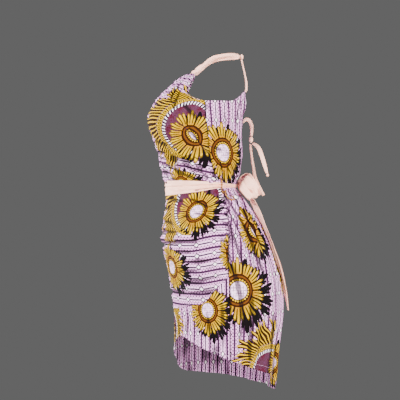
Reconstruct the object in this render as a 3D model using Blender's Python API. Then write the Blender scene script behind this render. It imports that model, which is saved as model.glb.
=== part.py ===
"""Halter-neck wax print dress with a high-low hem, a tied sash and a tied back.

The cloth is rigid and keeps the hollow form of its wearer. Metres, +Z up, front towards -Y,
the wearer's left towards +X. The origin is the centre of the neck band at the height of the nape.
Every panel is a thin wall bent round one dress form, and every ribbon is a thin wall along a route.
"""

from collections import namedtuple
from math import cos, exp, radians, sin

import bmesh
import bpy
from mathutils import Vector

# ---------------------------------------------------------------- driving sizes
CLOTH = 0.0015          # wall of the wax print panels
RIBBON = 0.0014         # wall of the sash, straps and ties
GAP = 0.0003            # clearance between neighbouring pieces
SASH_STAND = 0.0016     # how far the drawn sash stands off the hollow of the waist
WAIST_Z = -0.393        # waist join, under the middle of the sash
UNDERARM_Z = -0.1425    # top of the side seams
BIB_TOP_Z = -0.0575     # where the bib is gathered into the neck band
SLIT_END_Z = -0.205     # foot of the open slit at the centre back

# The dress form: one row for each height, with the plan section's reach to the front and back,
# its middle and its half width, and where the side seam runs.
Section = namedtuple("Section", "z front middle back half_width seam")
FORM = [
    Section(-0.050, -0.090, -0.018, 0.055, 0.066, -0.030),
    Section(-0.077, -0.140, -0.035, 0.064, 0.108, -0.040),
    Section(-0.105, -0.168, -0.046, 0.069, 0.138, -0.050),
    Section(-0.142, -0.196, -0.060, 0.069, 0.152, -0.054),
    Section(-0.192, -0.208, -0.069, 0.057, 0.149, -0.051),
    Section(-0.240, -0.203, -0.068, 0.054, 0.137, -0.046),
    Section(-0.297, -0.191, -0.065, 0.056, 0.125, -0.040),
    Section(-0.348, -0.180, -0.063, 0.048, 0.117, -0.027),
    Section(-0.393, -0.168, -0.062, 0.036, 0.115, -0.009),
    Section(-0.435, -0.170, -0.053, 0.062, 0.127, 0.006),
    Section(-0.486, -0.176, -0.040, 0.097, 0.147, 0.012),
    Section(-0.540, -0.183, -0.028, 0.127, 0.164, 0.013),
    Section(-0.608, -0.171, -0.012, 0.153, 0.177, 0.014),
    Section(-0.678, -0.157, 0.004, 0.172, 0.183, 0.015),
    Section(-0.760, -0.146, 0.014, 0.177, 0.184, 0.016),
    Section(-0.860, -0.143, 0.012, 0.164, 0.181, 0.017),
    Section(-1.010, -0.149, 0.004, 0.148, 0.176, 0.017),
]

# The two bust cups, each a round swelling of the bodice.
CUP_ANGLE = 37.0
CUP_Z = -0.196
CUP_RISE = 0.034
CUP_SPREAD = 20.0
CUP_HEIGHT = 0.047

# The armhole side of the bib, from the neck band down to the underarm.
EdgeRow = namedtuple("EdgeRow", "z angle")
BIB_EDGE = [
    EdgeRow(BIB_TOP_Z, 43.0),
    EdgeRow(-0.064, 49.0),
    EdgeRow(-0.077, 57.0),
    EdgeRow(-0.097, 60.5),
    EdgeRow(-0.116, 64.0),
    EdgeRow(-0.129, 73.0),
    EdgeRow(-0.138, 83.5),
    EdgeRow(UNDERARM_Z, 91.5),
]

# The top of each back panel, from the side seam (share 0) to the slit (share 1).
TopRow = namedtuple("TopRow", "share z")
BACK_TOP = [
    TopRow(0.00, UNDERARM_Z),
    TopRow(0.42, -0.1420),
    TopRow(0.58, -0.1370),
    TopRow(0.73, -0.1240),
    TopRow(0.86, -0.1130),
    TopRow(1.00, -0.1080),
]

# The slit's side, as an angle round the form.
SLIT_SIDE = [
    EdgeRow(-0.108, 165.0),
    EdgeRow(-0.150, 170.0),
    EdgeRow(SLIT_END_Z, 179.8),
    EdgeRow(WAIST_Z, 179.8),
]

# Where the front skirt's upper piece joins its lower piece.
RoundRow = namedtuple("RoundRow", "angle z")
FRONT_JOIN = [
    RoundRow(0.0, -0.756),
    RoundRow(30.0, -0.750),
    RoundRow(50.0, -0.740),
    RoundRow(66.0, -0.730),
    RoundRow(79.0, -0.692),
    RoundRow(92.0, -0.655),
]

# The high-low hem, highest at the left front, from one side of the centre back to the other.
HEM = [
    RoundRow(-180.0, -1.000),
    RoundRow(-150.0, -0.993),
    RoundRow(-120.0, -0.985),
    RoundRow(-90.0, -0.972),
    RoundRow(-60.0, -0.962),
    RoundRow(-30.0, -0.945),
    RoundRow(-10.0, -0.905),
    RoundRow(0.0, -0.880),
    RoundRow(15.0, -0.845),
    RoundRow(30.0, -0.832),
    RoundRow(60.0, -0.860),
    RoundRow(90.0, -0.893),
    RoundRow(120.0, -0.922),
    RoundRow(150.0, -0.948),
    RoundRow(165.0, -0.975),
    RoundRow(180.0, -1.000),
]

# Flutes of the back skirt: they grow from the gathers at the waist to the hem.
FLUTE_RISE = 0.006
FLUTE_STEP = 34.0

# The neck band: its upper and lower edges, from the centre front to the nape.
BandRow = namedtuple("BandRow", "angle top_x top_y top_z low_x low_y low_z")
NECK_BAND = [
    BandRow(0.0, 0.000, -0.058, -0.026, 0.000, -0.100, -0.0560),
    BandRow(22.0, 0.024, -0.054, -0.025, 0.030, -0.097, -0.0560),
    BandRow(44.0, 0.042, -0.043, -0.019, 0.055, -0.079, -0.0540),
    BandRow(60.0, 0.052, -0.031, -0.011, 0.061, -0.056, -0.0330),
    BandRow(75.0, 0.058, -0.016, -0.003, 0.064, -0.030, -0.0160),
    BandRow(95.0, 0.058, 0.006, 0.002, 0.062, 0.002, -0.0080),
    BandRow(120.0, 0.049, 0.029, 0.004, 0.052, 0.029, -0.0070),
    BandRow(150.0, 0.028, 0.042, 0.004, 0.029, 0.044, -0.0070),
    BandRow(180.0, 0.000, 0.047, 0.003, 0.000, 0.049, -0.0080),
]

# The sash's upper and lower edges: wide in front and drawn narrow towards the bow.
SashRow = namedtuple("SashRow", "angle top bottom")
SASH = [
    SashRow(0.0, -0.374, -0.420),
    SashRow(40.0, -0.374, -0.417),
    SashRow(80.0, -0.376, -0.409),
    SashRow(110.0, -0.379, -0.400),
    SashRow(140.0, -0.383, -0.396),
    SashRow(180.0, -0.385, -0.395),
]

# Ribbons: the route of the middle line, the width, and which way the width points:
# turn is its bearing in plan from +X, and tilt is its rise.
RibbonRow = namedtuple("RibbonRow", "x y z width turn tilt")
BACK_STRAP = [
    RibbonRow(0.0110, 0.0555, -0.0090, 0.009, 0.0, -35.0),
    RibbonRow(0.0170, 0.0600, -0.0310, 0.010, 5.0, -15.0),
    RibbonRow(0.0260, 0.0670, -0.0620, 0.011, -5.0, -12.0),
    RibbonRow(0.0340, 0.0705, -0.0900, 0.012, -12.0, -8.0),
    RibbonRow(0.0355, 0.0690, -0.1060, 0.013, -18.0, 0.0),
]
BOW_LOOP = [
    RibbonRow(0.0140, 0.0520, -0.3740, 0.022, 90.0, 80.0),
    RibbonRow(0.0360, 0.0620, -0.3700, 0.044, 90.0, 55.0),
    RibbonRow(0.0540, 0.0710, -0.3860, 0.054, 90.0, 42.0),
    RibbonRow(0.0600, 0.0840, -0.4060, 0.050, 90.0, 34.0),
    RibbonRow(0.0560, 0.0930, -0.4215, 0.040, 90.0, 26.0),
    RibbonRow(0.0440, 0.0930, -0.4240, 0.036, 90.0, 26.0),
    RibbonRow(0.0360, 0.0850, -0.4120, 0.042, 90.0, 36.0),
    RibbonRow(0.0300, 0.0740, -0.3960, 0.038, 90.0, 46.0),
    RibbonRow(0.0160, 0.0620, -0.3860, 0.018, 90.0, 75.0),
]
SASH_TAIL_LEFT = [
    RibbonRow(0.0070, 0.0620, -0.4020, 0.012, 10.0, 0.0),
    RibbonRow(0.0130, 0.0840, -0.4300, 0.026, 25.0, 0.0),
    RibbonRow(0.0170, 0.1040, -0.4700, 0.030, 35.0, 0.0),
    RibbonRow(0.0150, 0.1270, -0.5200, 0.018, 25.0, 0.0),
    RibbonRow(0.0130, 0.1520, -0.5800, 0.016, 15.0, 0.0),
    RibbonRow(0.0120, 0.1755, -0.6500, 0.018, 5.0, 0.0),
    RibbonRow(0.0110, 0.1870, -0.7050, 0.019, 5.0, 0.0),
    RibbonRow(0.0100, 0.1945, -0.7620, 0.012, 5.0, 0.0),
]
SASH_TAIL_RIGHT = [
    RibbonRow(-0.0070, 0.0620, -0.4020, 0.012, -10.0, 0.0),
    RibbonRow(-0.0170, 0.0840, -0.4300, 0.026, -25.0, 0.0),
    RibbonRow(-0.0230, 0.1040, -0.4700, 0.028, -30.0, 0.0),
    RibbonRow(-0.0220, 0.1240, -0.5130, 0.022, -20.0, 0.0),
    RibbonRow(-0.0200, 0.1450, -0.5560, 0.016, -10.0, 0.0),
]
BACK_TIE_LOOP = [
    RibbonRow(0.0040, 0.0600, -0.2000, 0.006, 90.0, 50.0),
    RibbonRow(0.0060, 0.0700, -0.1900, 0.009, 90.0, 70.0),
    RibbonRow(0.0075, 0.0800, -0.1960, 0.010, 60.0, 20.0),
    RibbonRow(0.0075, 0.0860, -0.2150, 0.009, 60.0, 0.0),
    RibbonRow(0.0050, 0.0850, -0.2400, 0.007, 60.0, 0.0),
]
BACK_TIE_TAIL_LEFT = [
    RibbonRow(0.0050, 0.0880, -0.2625, 0.005, 80.0, 10.0),
    RibbonRow(0.0105, 0.0970, -0.2670, 0.010, 80.0, 40.0),
    RibbonRow(0.0160, 0.1080, -0.2800, 0.012, 80.0, 20.0),
    RibbonRow(0.0190, 0.1170, -0.3050, 0.012, 80.0, 10.0),
    RibbonRow(0.0200, 0.1260, -0.3350, 0.010, 80.0, 5.0),
    RibbonRow(0.0200, 0.1310, -0.3520, 0.006, 80.0, 5.0),
]
BACK_TIE_TAIL_RIGHT = [
    RibbonRow(-0.0020, 0.0820, -0.2640, 0.005, 70.0, 0.0),
    RibbonRow(-0.0030, 0.0850, -0.2950, 0.007, 65.0, 0.0),
    RibbonRow(-0.0030, 0.0910, -0.3350, 0.008, 60.0, 0.0),
    RibbonRow(-0.0020, 0.0980, -0.3700, 0.010, 65.0, 0.0),
    RibbonRow(-0.0010, 0.1120, -0.4000, 0.009, 70.0, 0.0),
    RibbonRow(0.0000, 0.1220, -0.4180, 0.008, 75.0, 0.0),
]

# ---------------------------------------------------------------- materials
Finish = namedtuple("Finish", "color roughness")
WAX_PRINT = Finish((0.74, 0.58, 0.76, 1.0), 0.75)
PINK_CLOTH = Finish((0.97, 0.74, 0.66, 1.0), 0.60)
CARRIER_CLOTH = Finish((0.45, 0.27, 0.08, 1.0), 0.70)


def make_material(name, finish):
    """A Principled material of one colour and roughness."""
    material = bpy.data.materials.new(name)
    material.use_nodes = True
    shader = material.node_tree.nodes["Principled BSDF"]
    shader.inputs["Base Color"].default_value = finish.color
    shader.inputs["Roughness"].default_value = finish.roughness
    shader.inputs["Metallic"].default_value = 0.0
    material.diffuse_color = finish.color
    return material


# ---------------------------------------------------------------- curves through tables
def curve_slope(grades, i):
    """The curve's slope at row i, kept low enough that the curve never swings past its rows."""
    before = grades[max(i - 1, 0)]
    after = grades[min(i, len(grades) - 1)]
    if before * after <= 0.0:
        return 0.0
    steepest = 3.0 * min(abs(before), abs(after))
    return max(-steepest, min(steepest, (before + after) / 2))


def smooth(rows, along, column, place):
    """Read one column of a table at a place between its rows, on a smooth curve through them."""
    ordered = sorted(rows, key=lambda row: getattr(row, along))
    places = [getattr(row, along) for row in ordered]
    values = [getattr(row, column) for row in ordered]
    if place <= places[0]:
        return values[0]
    if place >= places[-1]:
        return values[-1]
    step = next(i for i in range(len(places) - 1) if place <= places[i + 1])
    grades = [(values[i + 1] - values[i]) / (places[i + 1] - places[i]) for i in range(len(places) - 1)]
    slopes = [curve_slope(grades, i) for i in (step, step + 1)]
    width = places[step + 1] - places[step]
    t = (place - places[step]) / width
    return ((2 * t**3 - 3 * t**2 + 1) * values[step] + (t**3 - 2 * t**2 + t) * width * slopes[0]
            + (3 * t**2 - 2 * t**3) * values[step + 1] + (t**3 - t**2) * width * slopes[1])


def mix(low, high, share):
    """The value a share of the way from low to high."""
    return low + (high - low) * share


# ---------------------------------------------------------------- the dress form
def cup_swell(angle, z):
    """How far the two bust cups stand out of the plain section."""
    height = exp(-0.5 * ((z - CUP_Z) / CUP_HEIGHT) ** 2)
    left = exp(-0.5 * ((angle - CUP_ANGLE) / CUP_SPREAD) ** 2)
    right = exp(-0.5 * ((angle + CUP_ANGLE) / CUP_SPREAD) ** 2)
    return CUP_RISE * height * (left + right)


def flute_swell(angle, z):
    """Soft flutes of the back skirt, none at the waist and fullest at the hem."""
    fall = min(max((WAIST_Z - z) / (WAIST_Z + 1.0), 0.0), 1.0)
    turn = abs(angle)
    behind = min(max((turn - 95.0) / 30.0, 0.0), 1.0)
    return FLUTE_RISE * fall * behind * cos(radians((180.0 - turn) * 360.0 / FLUTE_STEP))


def form_section(angle, z):
    """A point on the plain elliptical section, before the cups and flutes."""
    front, middle, back, half_width = (
        smooth(FORM, "z", column, z) for column in ("front", "middle", "back", "half_width"))
    forward = cos(radians(angle))
    depth = middle - front if forward > 0 else back - middle
    return Vector((half_width * sin(radians(angle)), middle - depth * forward, z))


def form_point(angle, z):
    """A point on the inside of the cloth."""
    here = form_section(angle, z)
    ahead = form_section(angle + 1.0, z) - form_section(angle - 1.0, z)
    outward = Vector((ahead.y, -ahead.x, 0.0)).normalized()
    return here + outward * (cup_swell(angle, z) + flute_swell(angle, z))


def form_normal(angle, z):
    """The way out of the cloth at a point."""
    around = form_point(angle + 0.5, z) - form_point(angle - 0.5, z)
    upward = form_point(angle, z + 0.002) - form_point(angle, z - 0.002)
    return around.cross(upward).normalized()


def form_layer(angle, z, lift):
    """A point a given height above the inside of the cloth."""
    return form_point(angle, z) + form_normal(angle, z) * lift


def seam_angle(z):
    """Where the side seam runs round the form at a height."""
    front, middle, back, seam = (
        smooth(FORM, "z", column, z) for column in ("front", "middle", "back", "seam"))
    low, high = 60.0, 150.0
    for _ in range(30):
        trial = (low + high) / 2
        depth = middle - front if trial < 90.0 else back - middle
        if middle - depth * cos(radians(trial)) < seam:
            low = trial
        else:
            high = trial
    return low


def gap_angle(z):
    """Half the clearance at a seam, as an angle at a height."""
    return 57.3 * 0.5 * GAP / smooth(FORM, "z", "half_width", z) * 1.6


# ---------------------------------------------------------------- walls
def finish_object(name, mesh, material):
    """Put a finished mesh in the scene under its own name."""
    mesh.materials.append(material)
    part = bpy.data.objects.new(name, mesh)
    bpy.context.collection.objects.link(part)
    return part


def wall(name, columns, rows, place, material, closed=False):
    """A thin wall: a flat grid, doubled, with every corner put in its place.

    place(across, along, outer) gives a point for shares of the way across and along.
    A closed wall joins its last column to its first, as a ring does.
    """
    steps = columns if closed else columns + 1
    build = bmesh.new()
    layers = []
    for outer in (False, True):
        layers.append([[build.verts.new(place(i / columns, j / rows, outer)) for i in range(steps)]
                       for j in range(rows + 1)])
    inner, outer = layers
    for j in range(rows):
        for i in range(columns):
            k = (i + 1) % steps
            build.faces.new((outer[j][i], outer[j][k], outer[j + 1][k], outer[j + 1][i]))
            build.faces.new((inner[j][i], inner[j + 1][i], inner[j + 1][k], inner[j][k]))
    for i in range(columns):
        k = (i + 1) % steps
        build.faces.new((inner[0][i], inner[0][k], outer[0][k], outer[0][i]))
        build.faces.new((inner[rows][i], outer[rows][i], outer[rows][k], inner[rows][k]))
    if not closed:
        for j in range(rows):
            build.faces.new((inner[j][0], outer[j][0], outer[j + 1][0], inner[j + 1][0]))
            build.faces.new((inner[j][columns], inner[j + 1][columns],
                             outer[j + 1][columns], outer[j][columns]))
    bmesh.ops.recalc_face_normals(build, faces=build.faces)
    mesh = bpy.data.meshes.new(name)
    build.to_mesh(mesh)
    build.free()
    mesh.shade_smooth()
    return finish_object(name, mesh, material)


def ribbon(name, route, steps, material, thickness=RIBBON):
    """A flat ribbon of changing width along a smooth route, three points across."""
    stops = [row._replace() for row in route]
    Stop = namedtuple("Stop", ("stop",) + RibbonRow._fields)
    table = [Stop(i, *row) for i, row in enumerate(stops)]

    def read(column, along):
        return smooth(table, "stop", column, along * (len(stops) - 1))

    def middle(along):
        return Vector((read("x", along), read("y", along), read("z", along)))

    def place(across, along, outer):
        turn, tilt = radians(read("turn", along)), radians(read("tilt", along))
        width_way = Vector((cos(turn) * cos(tilt), sin(turn) * cos(tilt), sin(tilt)))
        travel = middle(min(along + 0.01, 1.0)) - middle(max(along - 0.01, 0.0))
        facing = travel.cross(width_way).normalized()
        side = facing.cross(travel).normalized()
        point = middle(along) + side * read("width", along) * (across - 0.5)
        return point + facing * thickness * (0.5 if outer else -0.5)

    return wall(name, 2, steps, place, material)


def knot(name, centre, radii, material):
    """A tied knot as a rounded lump of its three half sizes."""
    build = bmesh.new()
    bmesh.ops.create_icosphere(build, subdivisions=2, radius=1.0)
    bmesh.ops.scale(build, vec=Vector(radii), verts=build.verts)
    bmesh.ops.translate(build, vec=Vector(centre), verts=build.verts)
    mesh = bpy.data.meshes.new(name)
    build.to_mesh(mesh)
    build.free()
    mesh.shade_smooth()
    return finish_object(name, mesh, material)


def mirrored(route):
    """The same ribbon on the wearer's right."""
    return [row._replace(x=-row.x, turn=180.0 - row.turn) for row in route]


# ---------------------------------------------------------------- panels
# Rows of facets down each stretch, the same on both sides of a seam.
BIB_ROWS = 8
BODICE_ROWS = 10
UPPER_SKIRT_ROWS = 11
LOWER_SKIRT_ROWS = 6


def lift_of(outer):
    """The two faces of a panel's wall."""
    return CLOTH if outer else 0.0


def bodice_front(material):
    """The bib and front bodice, from the neck band to the waist, both side seams included."""
    rows = BIB_ROWS + BODICE_ROWS

    def height(along):
        below = along * rows - BIB_ROWS
        if below <= 0.0:
            return mix(UNDERARM_Z, BIB_TOP_Z, -below / BIB_ROWS)
        return mix(UNDERARM_Z, WAIST_Z + GAP / 2, below / BODICE_ROWS)

    def place(across, along, outer):
        z = height(along)
        side = smooth(BIB_EDGE, "z", "angle", z) if z > UNDERARM_Z else seam_angle(z)
        side -= gap_angle(z)
        return form_layer(mix(-side, side, across), z, lift_of(outer))

    return wall("bodice_front", 26, rows, place, material)


def bodice_back(name, hand, material):
    """One back panel, from its side seam to the centre back, with the slit's side at its top."""

    def place(across, along, outer):
        top = smooth(BACK_TOP, "share", "z", across)
        z = mix(top, WAIST_Z + GAP / 2, along)
        start = seam_angle(min(z, UNDERARM_Z)) + gap_angle(z)
        end = smooth(SLIT_SIDE, "z", "angle", z)
        return form_layer(hand * mix(start, end, across), z, lift_of(outer))

    return wall(name, 12, BODICE_ROWS, place, material)


def hem_height(angle):
    """The hem's height round the form."""
    return smooth(HEM, "angle", "z", angle)


def skirt_front(material):
    """The upper piece of the front skirt, from the waist to the curved join."""

    def place(across, along, outer):
        share = mix(-1.0, 1.0, across)
        join = smooth(FRONT_JOIN, "angle", "z", abs(share) * seam_angle(-0.7)) + GAP / 2
        z = mix(WAIST_Z - GAP / 2, join, along)
        return form_layer(share * (seam_angle(z) - gap_angle(z)), z, lift_of(outer))

    return wall("skirt_front", 22, UPPER_SKIRT_ROWS, place, material)


def skirt_front_lower(material):
    """The lower piece of the front skirt, from the curved join to the hem."""

    def place(across, along, outer):
        share = mix(-1.0, 1.0, across)
        join = smooth(FRONT_JOIN, "angle", "z", abs(share) * seam_angle(-0.7)) - GAP / 2
        z = mix(join, hem_height(share * (seam_angle(-0.9) + gap_angle(-0.9))), along)
        return form_layer(share * (seam_angle(z) - gap_angle(z)), z, lift_of(outer))

    return wall("skirt_front_lower", 22, LOWER_SKIRT_ROWS, place, material)


def skirt_back(material):
    """The gathered back skirt, from side seam to side seam."""
    rows = UPPER_SKIRT_ROWS + LOWER_SKIRT_ROWS
    join_at_seam = smooth(FRONT_JOIN, "angle", "z", seam_angle(-0.7))

    def place(across, along, outer):
        share = mix(1.0, -1.0, across)

        def bearing(z):
            start = seam_angle(z) + gap_angle(z)
            turn = 180.0 - abs(share) * (180.0 - start)
            return turn if share > 0 else -turn

        below = along * rows - UPPER_SKIRT_ROWS
        if below <= 0.0:
            z = mix(join_at_seam, WAIST_Z - GAP / 2, -below / UPPER_SKIRT_ROWS)
        else:
            z = mix(join_at_seam, hem_height(bearing(-0.9)), below / LOWER_SKIRT_ROWS)
        return form_layer(bearing(z), z, lift_of(outer))

    return wall("skirt_back", 30, rows, place, material)


def neck_band(material):
    """The pink band: a deep yoke in front that narrows to a strap at the nape."""

    def place(across, along, outer):
        angle = mix(-180.0, 180.0, across)
        row = BandRow(angle, *(smooth(NECK_BAND, "angle", column, abs(angle))
                               for column in BandRow._fields[1:]))
        hand = 1.0 if angle > 0 else -1.0
        top = Vector((hand * row.top_x, row.top_y, row.top_z))
        low = Vector((hand * row.low_x, row.low_y, row.low_z))
        away = Vector((sin(radians(angle)), -cos(radians(angle)), 0.0))
        lie = (low - top).normalized()
        facing = (away - lie * away.dot(lie)).normalized()
        return top.lerp(low, along) + facing * (RIBBON if outer else 0.0)

    return wall("neck_band", 36, 2, place, material, closed=True)


def sash(material):
    """The sash round the waist, over the join."""

    def place(across, along, outer):
        angle = mix(-180.0, 180.0, across)
        z = mix(smooth(SASH, "angle", "top", abs(angle)),
                smooth(SASH, "angle", "bottom", abs(angle)), along)
        lift = CLOTH + SASH_STAND + (RIBBON if outer else 0.0)
        return form_layer(angle, z, lift)

    return wall("sash", 40, 2, place, material, closed=True)


def belt_carrier(name, hand, material):
    """A thin thread loop that holds the sash at a side seam."""
    width = 0.003
    top_z, low_z = -0.366, -0.412
    over_sash = CLOTH + SASH_STAND + RIBBON + 3 * GAP

    def place(across, along, outer):
        z = mix(top_z, low_z, along)
        angle = hand * (seam_angle(-0.393) - 4.0 + (across - 0.5) * 57.3 * width / 0.1)
        arch = min(1.0, 3.0 * min(along, 1.0 - along) + 0.35)
        lift = mix(CLOTH + 5 * GAP, over_sash, arch if 0.0 < along < 1.0 else 0.0)
        return form_layer(angle, z, lift + (0.0012 if outer else 0.0))

    return wall(name, 1, 10, place, material)


# ---------------------------------------------------------------- build
def main():
    for old in list(bpy.data.objects):
        bpy.data.objects.remove(old, do_unlink=True)

    print_cloth = lambda name: make_material(name, WAX_PRINT)
    pink = lambda name: make_material(name, PINK_CLOTH)

    bodice_front(print_cloth("front_bodice_print"))
    bodice_back("bodice_back_left", 1.0, print_cloth("left_back_print"))
    bodice_back("bodice_back_right", -1.0, print_cloth("right_back_print"))
    skirt_front(print_cloth("front_skirt_print"))
    skirt_front_lower(print_cloth("lower_front_print"))
    skirt_back(print_cloth("back_skirt_print"))

    neck_band(pink("neck_band_cloth"))
    knot("nape_knot", (0.0, 0.0560, -0.003), (0.0085, 0.005, 0.0075), pink("nape_knot_cloth"))
    ribbon("back_strap_left", BACK_STRAP, 8, pink("left_strap_cloth"))
    ribbon("back_strap_right", mirrored(BACK_STRAP), 8, pink("right_strap_cloth"))

    sash(pink("sash_cloth"))
    knot("sash_knot", (0.0, 0.054, -0.382), (0.012, 0.0125, 0.015), pink("sash_knot_cloth"))
    ribbon("bow_loop_left", BOW_LOOP, 16, pink("left_loop_cloth"))
    ribbon("bow_loop_right", mirrored(BOW_LOOP), 16, pink("right_loop_cloth"))
    ribbon("sash_tail_left", SASH_TAIL_LEFT, 14, pink("left_tail_cloth"))
    ribbon("sash_tail_right", SASH_TAIL_RIGHT, 8, pink("right_tail_cloth"))
    belt_carrier("belt_carrier_left", 1.0, make_material("left_carrier_thread", CARRIER_CLOTH))
    belt_carrier("belt_carrier_right", -1.0, make_material("right_carrier_thread", CARRIER_CLOTH))

    ribbon("back_tie_loop_left", BACK_TIE_LOOP, 8, pink("left_tie_loop_cloth"))
    ribbon("back_tie_loop_right", mirrored(BACK_TIE_LOOP), 8, pink("right_tie_loop_cloth"))
    knot("back_tie_knot", (0.0, 0.084, -0.251), (0.007, 0.006, 0.009), pink("tie_knot_cloth"))
    ribbon("back_tie_tail_left", BACK_TIE_TAIL_LEFT, 10, pink("left_tie_tail_cloth"))
    ribbon("back_tie_tail_right", BACK_TIE_TAIL_RIGHT, 10, pink("right_tie_tail_cloth"))
    knot("tie_tail_knot", (0.020, 0.133, -0.3575), (0.004, 0.004, 0.0045), pink("tail_knot_cloth"))


main()
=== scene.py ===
# %% [markdown]
# # A halter-neck wax print dress
# The dress is made of thin cloth: a halter bib and bodice, a gathered skirt with a high-low hem,
# and pale pink ribbons at the neck, waist and back. It is worn, so the cloth keeps a body's hollow
# form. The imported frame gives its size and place, and this file gives it its creases and print.

# %% Load the frame
from collections import namedtuple
from math import cos, pi, radians, sin

import bmesh
import bpy
import numpy as np
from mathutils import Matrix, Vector


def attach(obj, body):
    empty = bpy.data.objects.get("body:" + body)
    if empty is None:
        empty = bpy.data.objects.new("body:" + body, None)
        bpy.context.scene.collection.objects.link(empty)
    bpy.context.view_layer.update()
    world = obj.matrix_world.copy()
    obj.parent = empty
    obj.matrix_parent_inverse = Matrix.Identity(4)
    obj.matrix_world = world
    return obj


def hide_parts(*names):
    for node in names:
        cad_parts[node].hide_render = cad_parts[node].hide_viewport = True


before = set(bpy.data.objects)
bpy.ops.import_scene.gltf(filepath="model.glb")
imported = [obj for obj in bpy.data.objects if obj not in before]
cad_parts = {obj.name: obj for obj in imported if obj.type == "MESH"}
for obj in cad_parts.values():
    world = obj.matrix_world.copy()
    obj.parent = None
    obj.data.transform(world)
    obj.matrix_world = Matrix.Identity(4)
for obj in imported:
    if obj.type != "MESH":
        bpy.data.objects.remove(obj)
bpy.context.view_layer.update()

# %% [markdown]
# ## Camera
# The dress is seen square on from the wearer's left. A long lens from five metres keeps the
# near and far sides of the hem almost the same size, as a shop's product camera does.

# %% Camera
CAMERA_DISTANCE = 5.0
VIEW_WIDTH = 1.2
SENSOR_MM = 36.0
AIM_Y, AIM_Z = -0.069, -0.432

camera_data = bpy.data.cameras.new("studio_camera")
camera_data.sensor_width = SENSOR_MM
camera_data.lens = SENSOR_MM * CAMERA_DISTANCE / VIEW_WIDTH
camera = bpy.data.objects.new("studio_camera", camera_data)
camera.location = (CAMERA_DISTANCE, AIM_Y, AIM_Z)
camera.rotation_euler = (radians(90), 0.0, radians(90))
bpy.context.collection.objects.link(camera)
bpy.context.scene.camera = camera
print("camera lens", round(camera_data.lens, 1), "mm")

# %% [markdown]
# ## Floor and light
# A wearer's nape is about 1.4 m above the floor, so the pale floor lies that far below the neck
# band. A grey room gives even light from all round. A small strong lamp in front models the
# creases, two wider ones fill the front and the back, and one behind lights the far side.

# %% Floor and light
FLOOR_Z = -1.42
FLOOR_RADIUS = 3.0
DRESS_MIDDLE = (0.0, -0.03, -0.5)
ROOM_GREY = 0.13


def plain_material(name, color, roughness):
    """A Principled material whose colour and roughness are the same all over."""
    material = bpy.data.materials.new(name)
    material.use_nodes = True
    shader = material.node_tree.nodes["Principled BSDF"]
    shader.inputs["Base Color"].default_value = (*color, 1.0)
    shader.inputs["Roughness"].default_value = roughness
    return material


def make_object(name, build, material=None, smooth=True):
    """Turn a finished bmesh into an object in the scene."""
    mesh = bpy.data.meshes.new(name)
    build.to_mesh(mesh)
    build.free()
    if smooth:
        mesh.shade_smooth()
    if material:
        mesh.materials.append(material)
    made = bpy.data.objects.new(name, mesh)
    bpy.context.collection.objects.link(made)
    return made


def area_light(name, place, size, watts, color):
    """A square lamp at a place, turned to face the dress."""
    data = bpy.data.lights.new(name, "AREA")
    data.size = size
    data.energy = watts
    data.color = color
    lamp = bpy.data.objects.new(name, data)
    lamp.location = place
    aim = Vector(DRESS_MIDDLE) - Vector(place)
    lamp.rotation_euler = aim.to_track_quat("-Z", "Y").to_euler()
    bpy.context.collection.objects.link(lamp)


floor_build = bmesh.new()
bmesh.ops.create_circle(floor_build, cap_ends=True, radius=FLOOR_RADIUS, segments=96)
bmesh.ops.translate(floor_build, vec=(0.0, 0.0, FLOOR_Z), verts=floor_build.verts)
pale_floor = plain_material("pale_floor", (0.80, 0.79, 0.77), 0.8)
floor = make_object("floor", floor_build, pale_floor, smooth=False)

world = bpy.data.worlds.new("grey_room")
world.use_nodes = True
background = world.node_tree.nodes["Background"]
background.inputs["Color"].default_value = (ROOM_GREY, ROOM_GREY, ROOM_GREY, 1.0)
background.inputs["Strength"].default_value = 1.0
bpy.context.scene.world = world

area_light("key_lamp", (2.3, -2.2, 1.5), 0.6, 340.0, (1.0, 0.98, 0.95))
area_light("fill_lamp", (2.4, 2.2, -0.2), 1.6, 280.0, (1.0, 0.96, 0.90))
area_light("rim_lamp", (-1.6, 2.4, 0.6), 1.0, 75.0, (1.0, 0.98, 0.95))
area_light("front_lamp", (-1.2, -2.6, 0.4), 1.2, 185.0, (1.0, 0.99, 0.97))
print("lamps", [o.name for o in bpy.data.objects if o.type == "LIGHT"])

# %% [markdown]
# ## The dress form
# A pattern cutter works on a dress form. Here it is a short table: one row for each height, with
# how far the body reaches to the front and back, where its middle is, half its width, and where
# the side seam runs. The edges are tables too: the bib's sides, the slit, the tops of the backs,
# the curved join of the skirt front, and the hem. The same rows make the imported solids, so the
# cloth lies where they are.

# %% Sizes and tables
CLOTH = 0.0015
RIBBON = 0.0014
GAP = 0.0003
SASH_STAND = 0.0016
WAIST_Z = -0.393
UNDERARM_Z = -0.1425
BIB_TOP_Z = -0.0575
SLIT_END_Z = -0.205
CENTRE_BACK = 179.8

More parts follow.
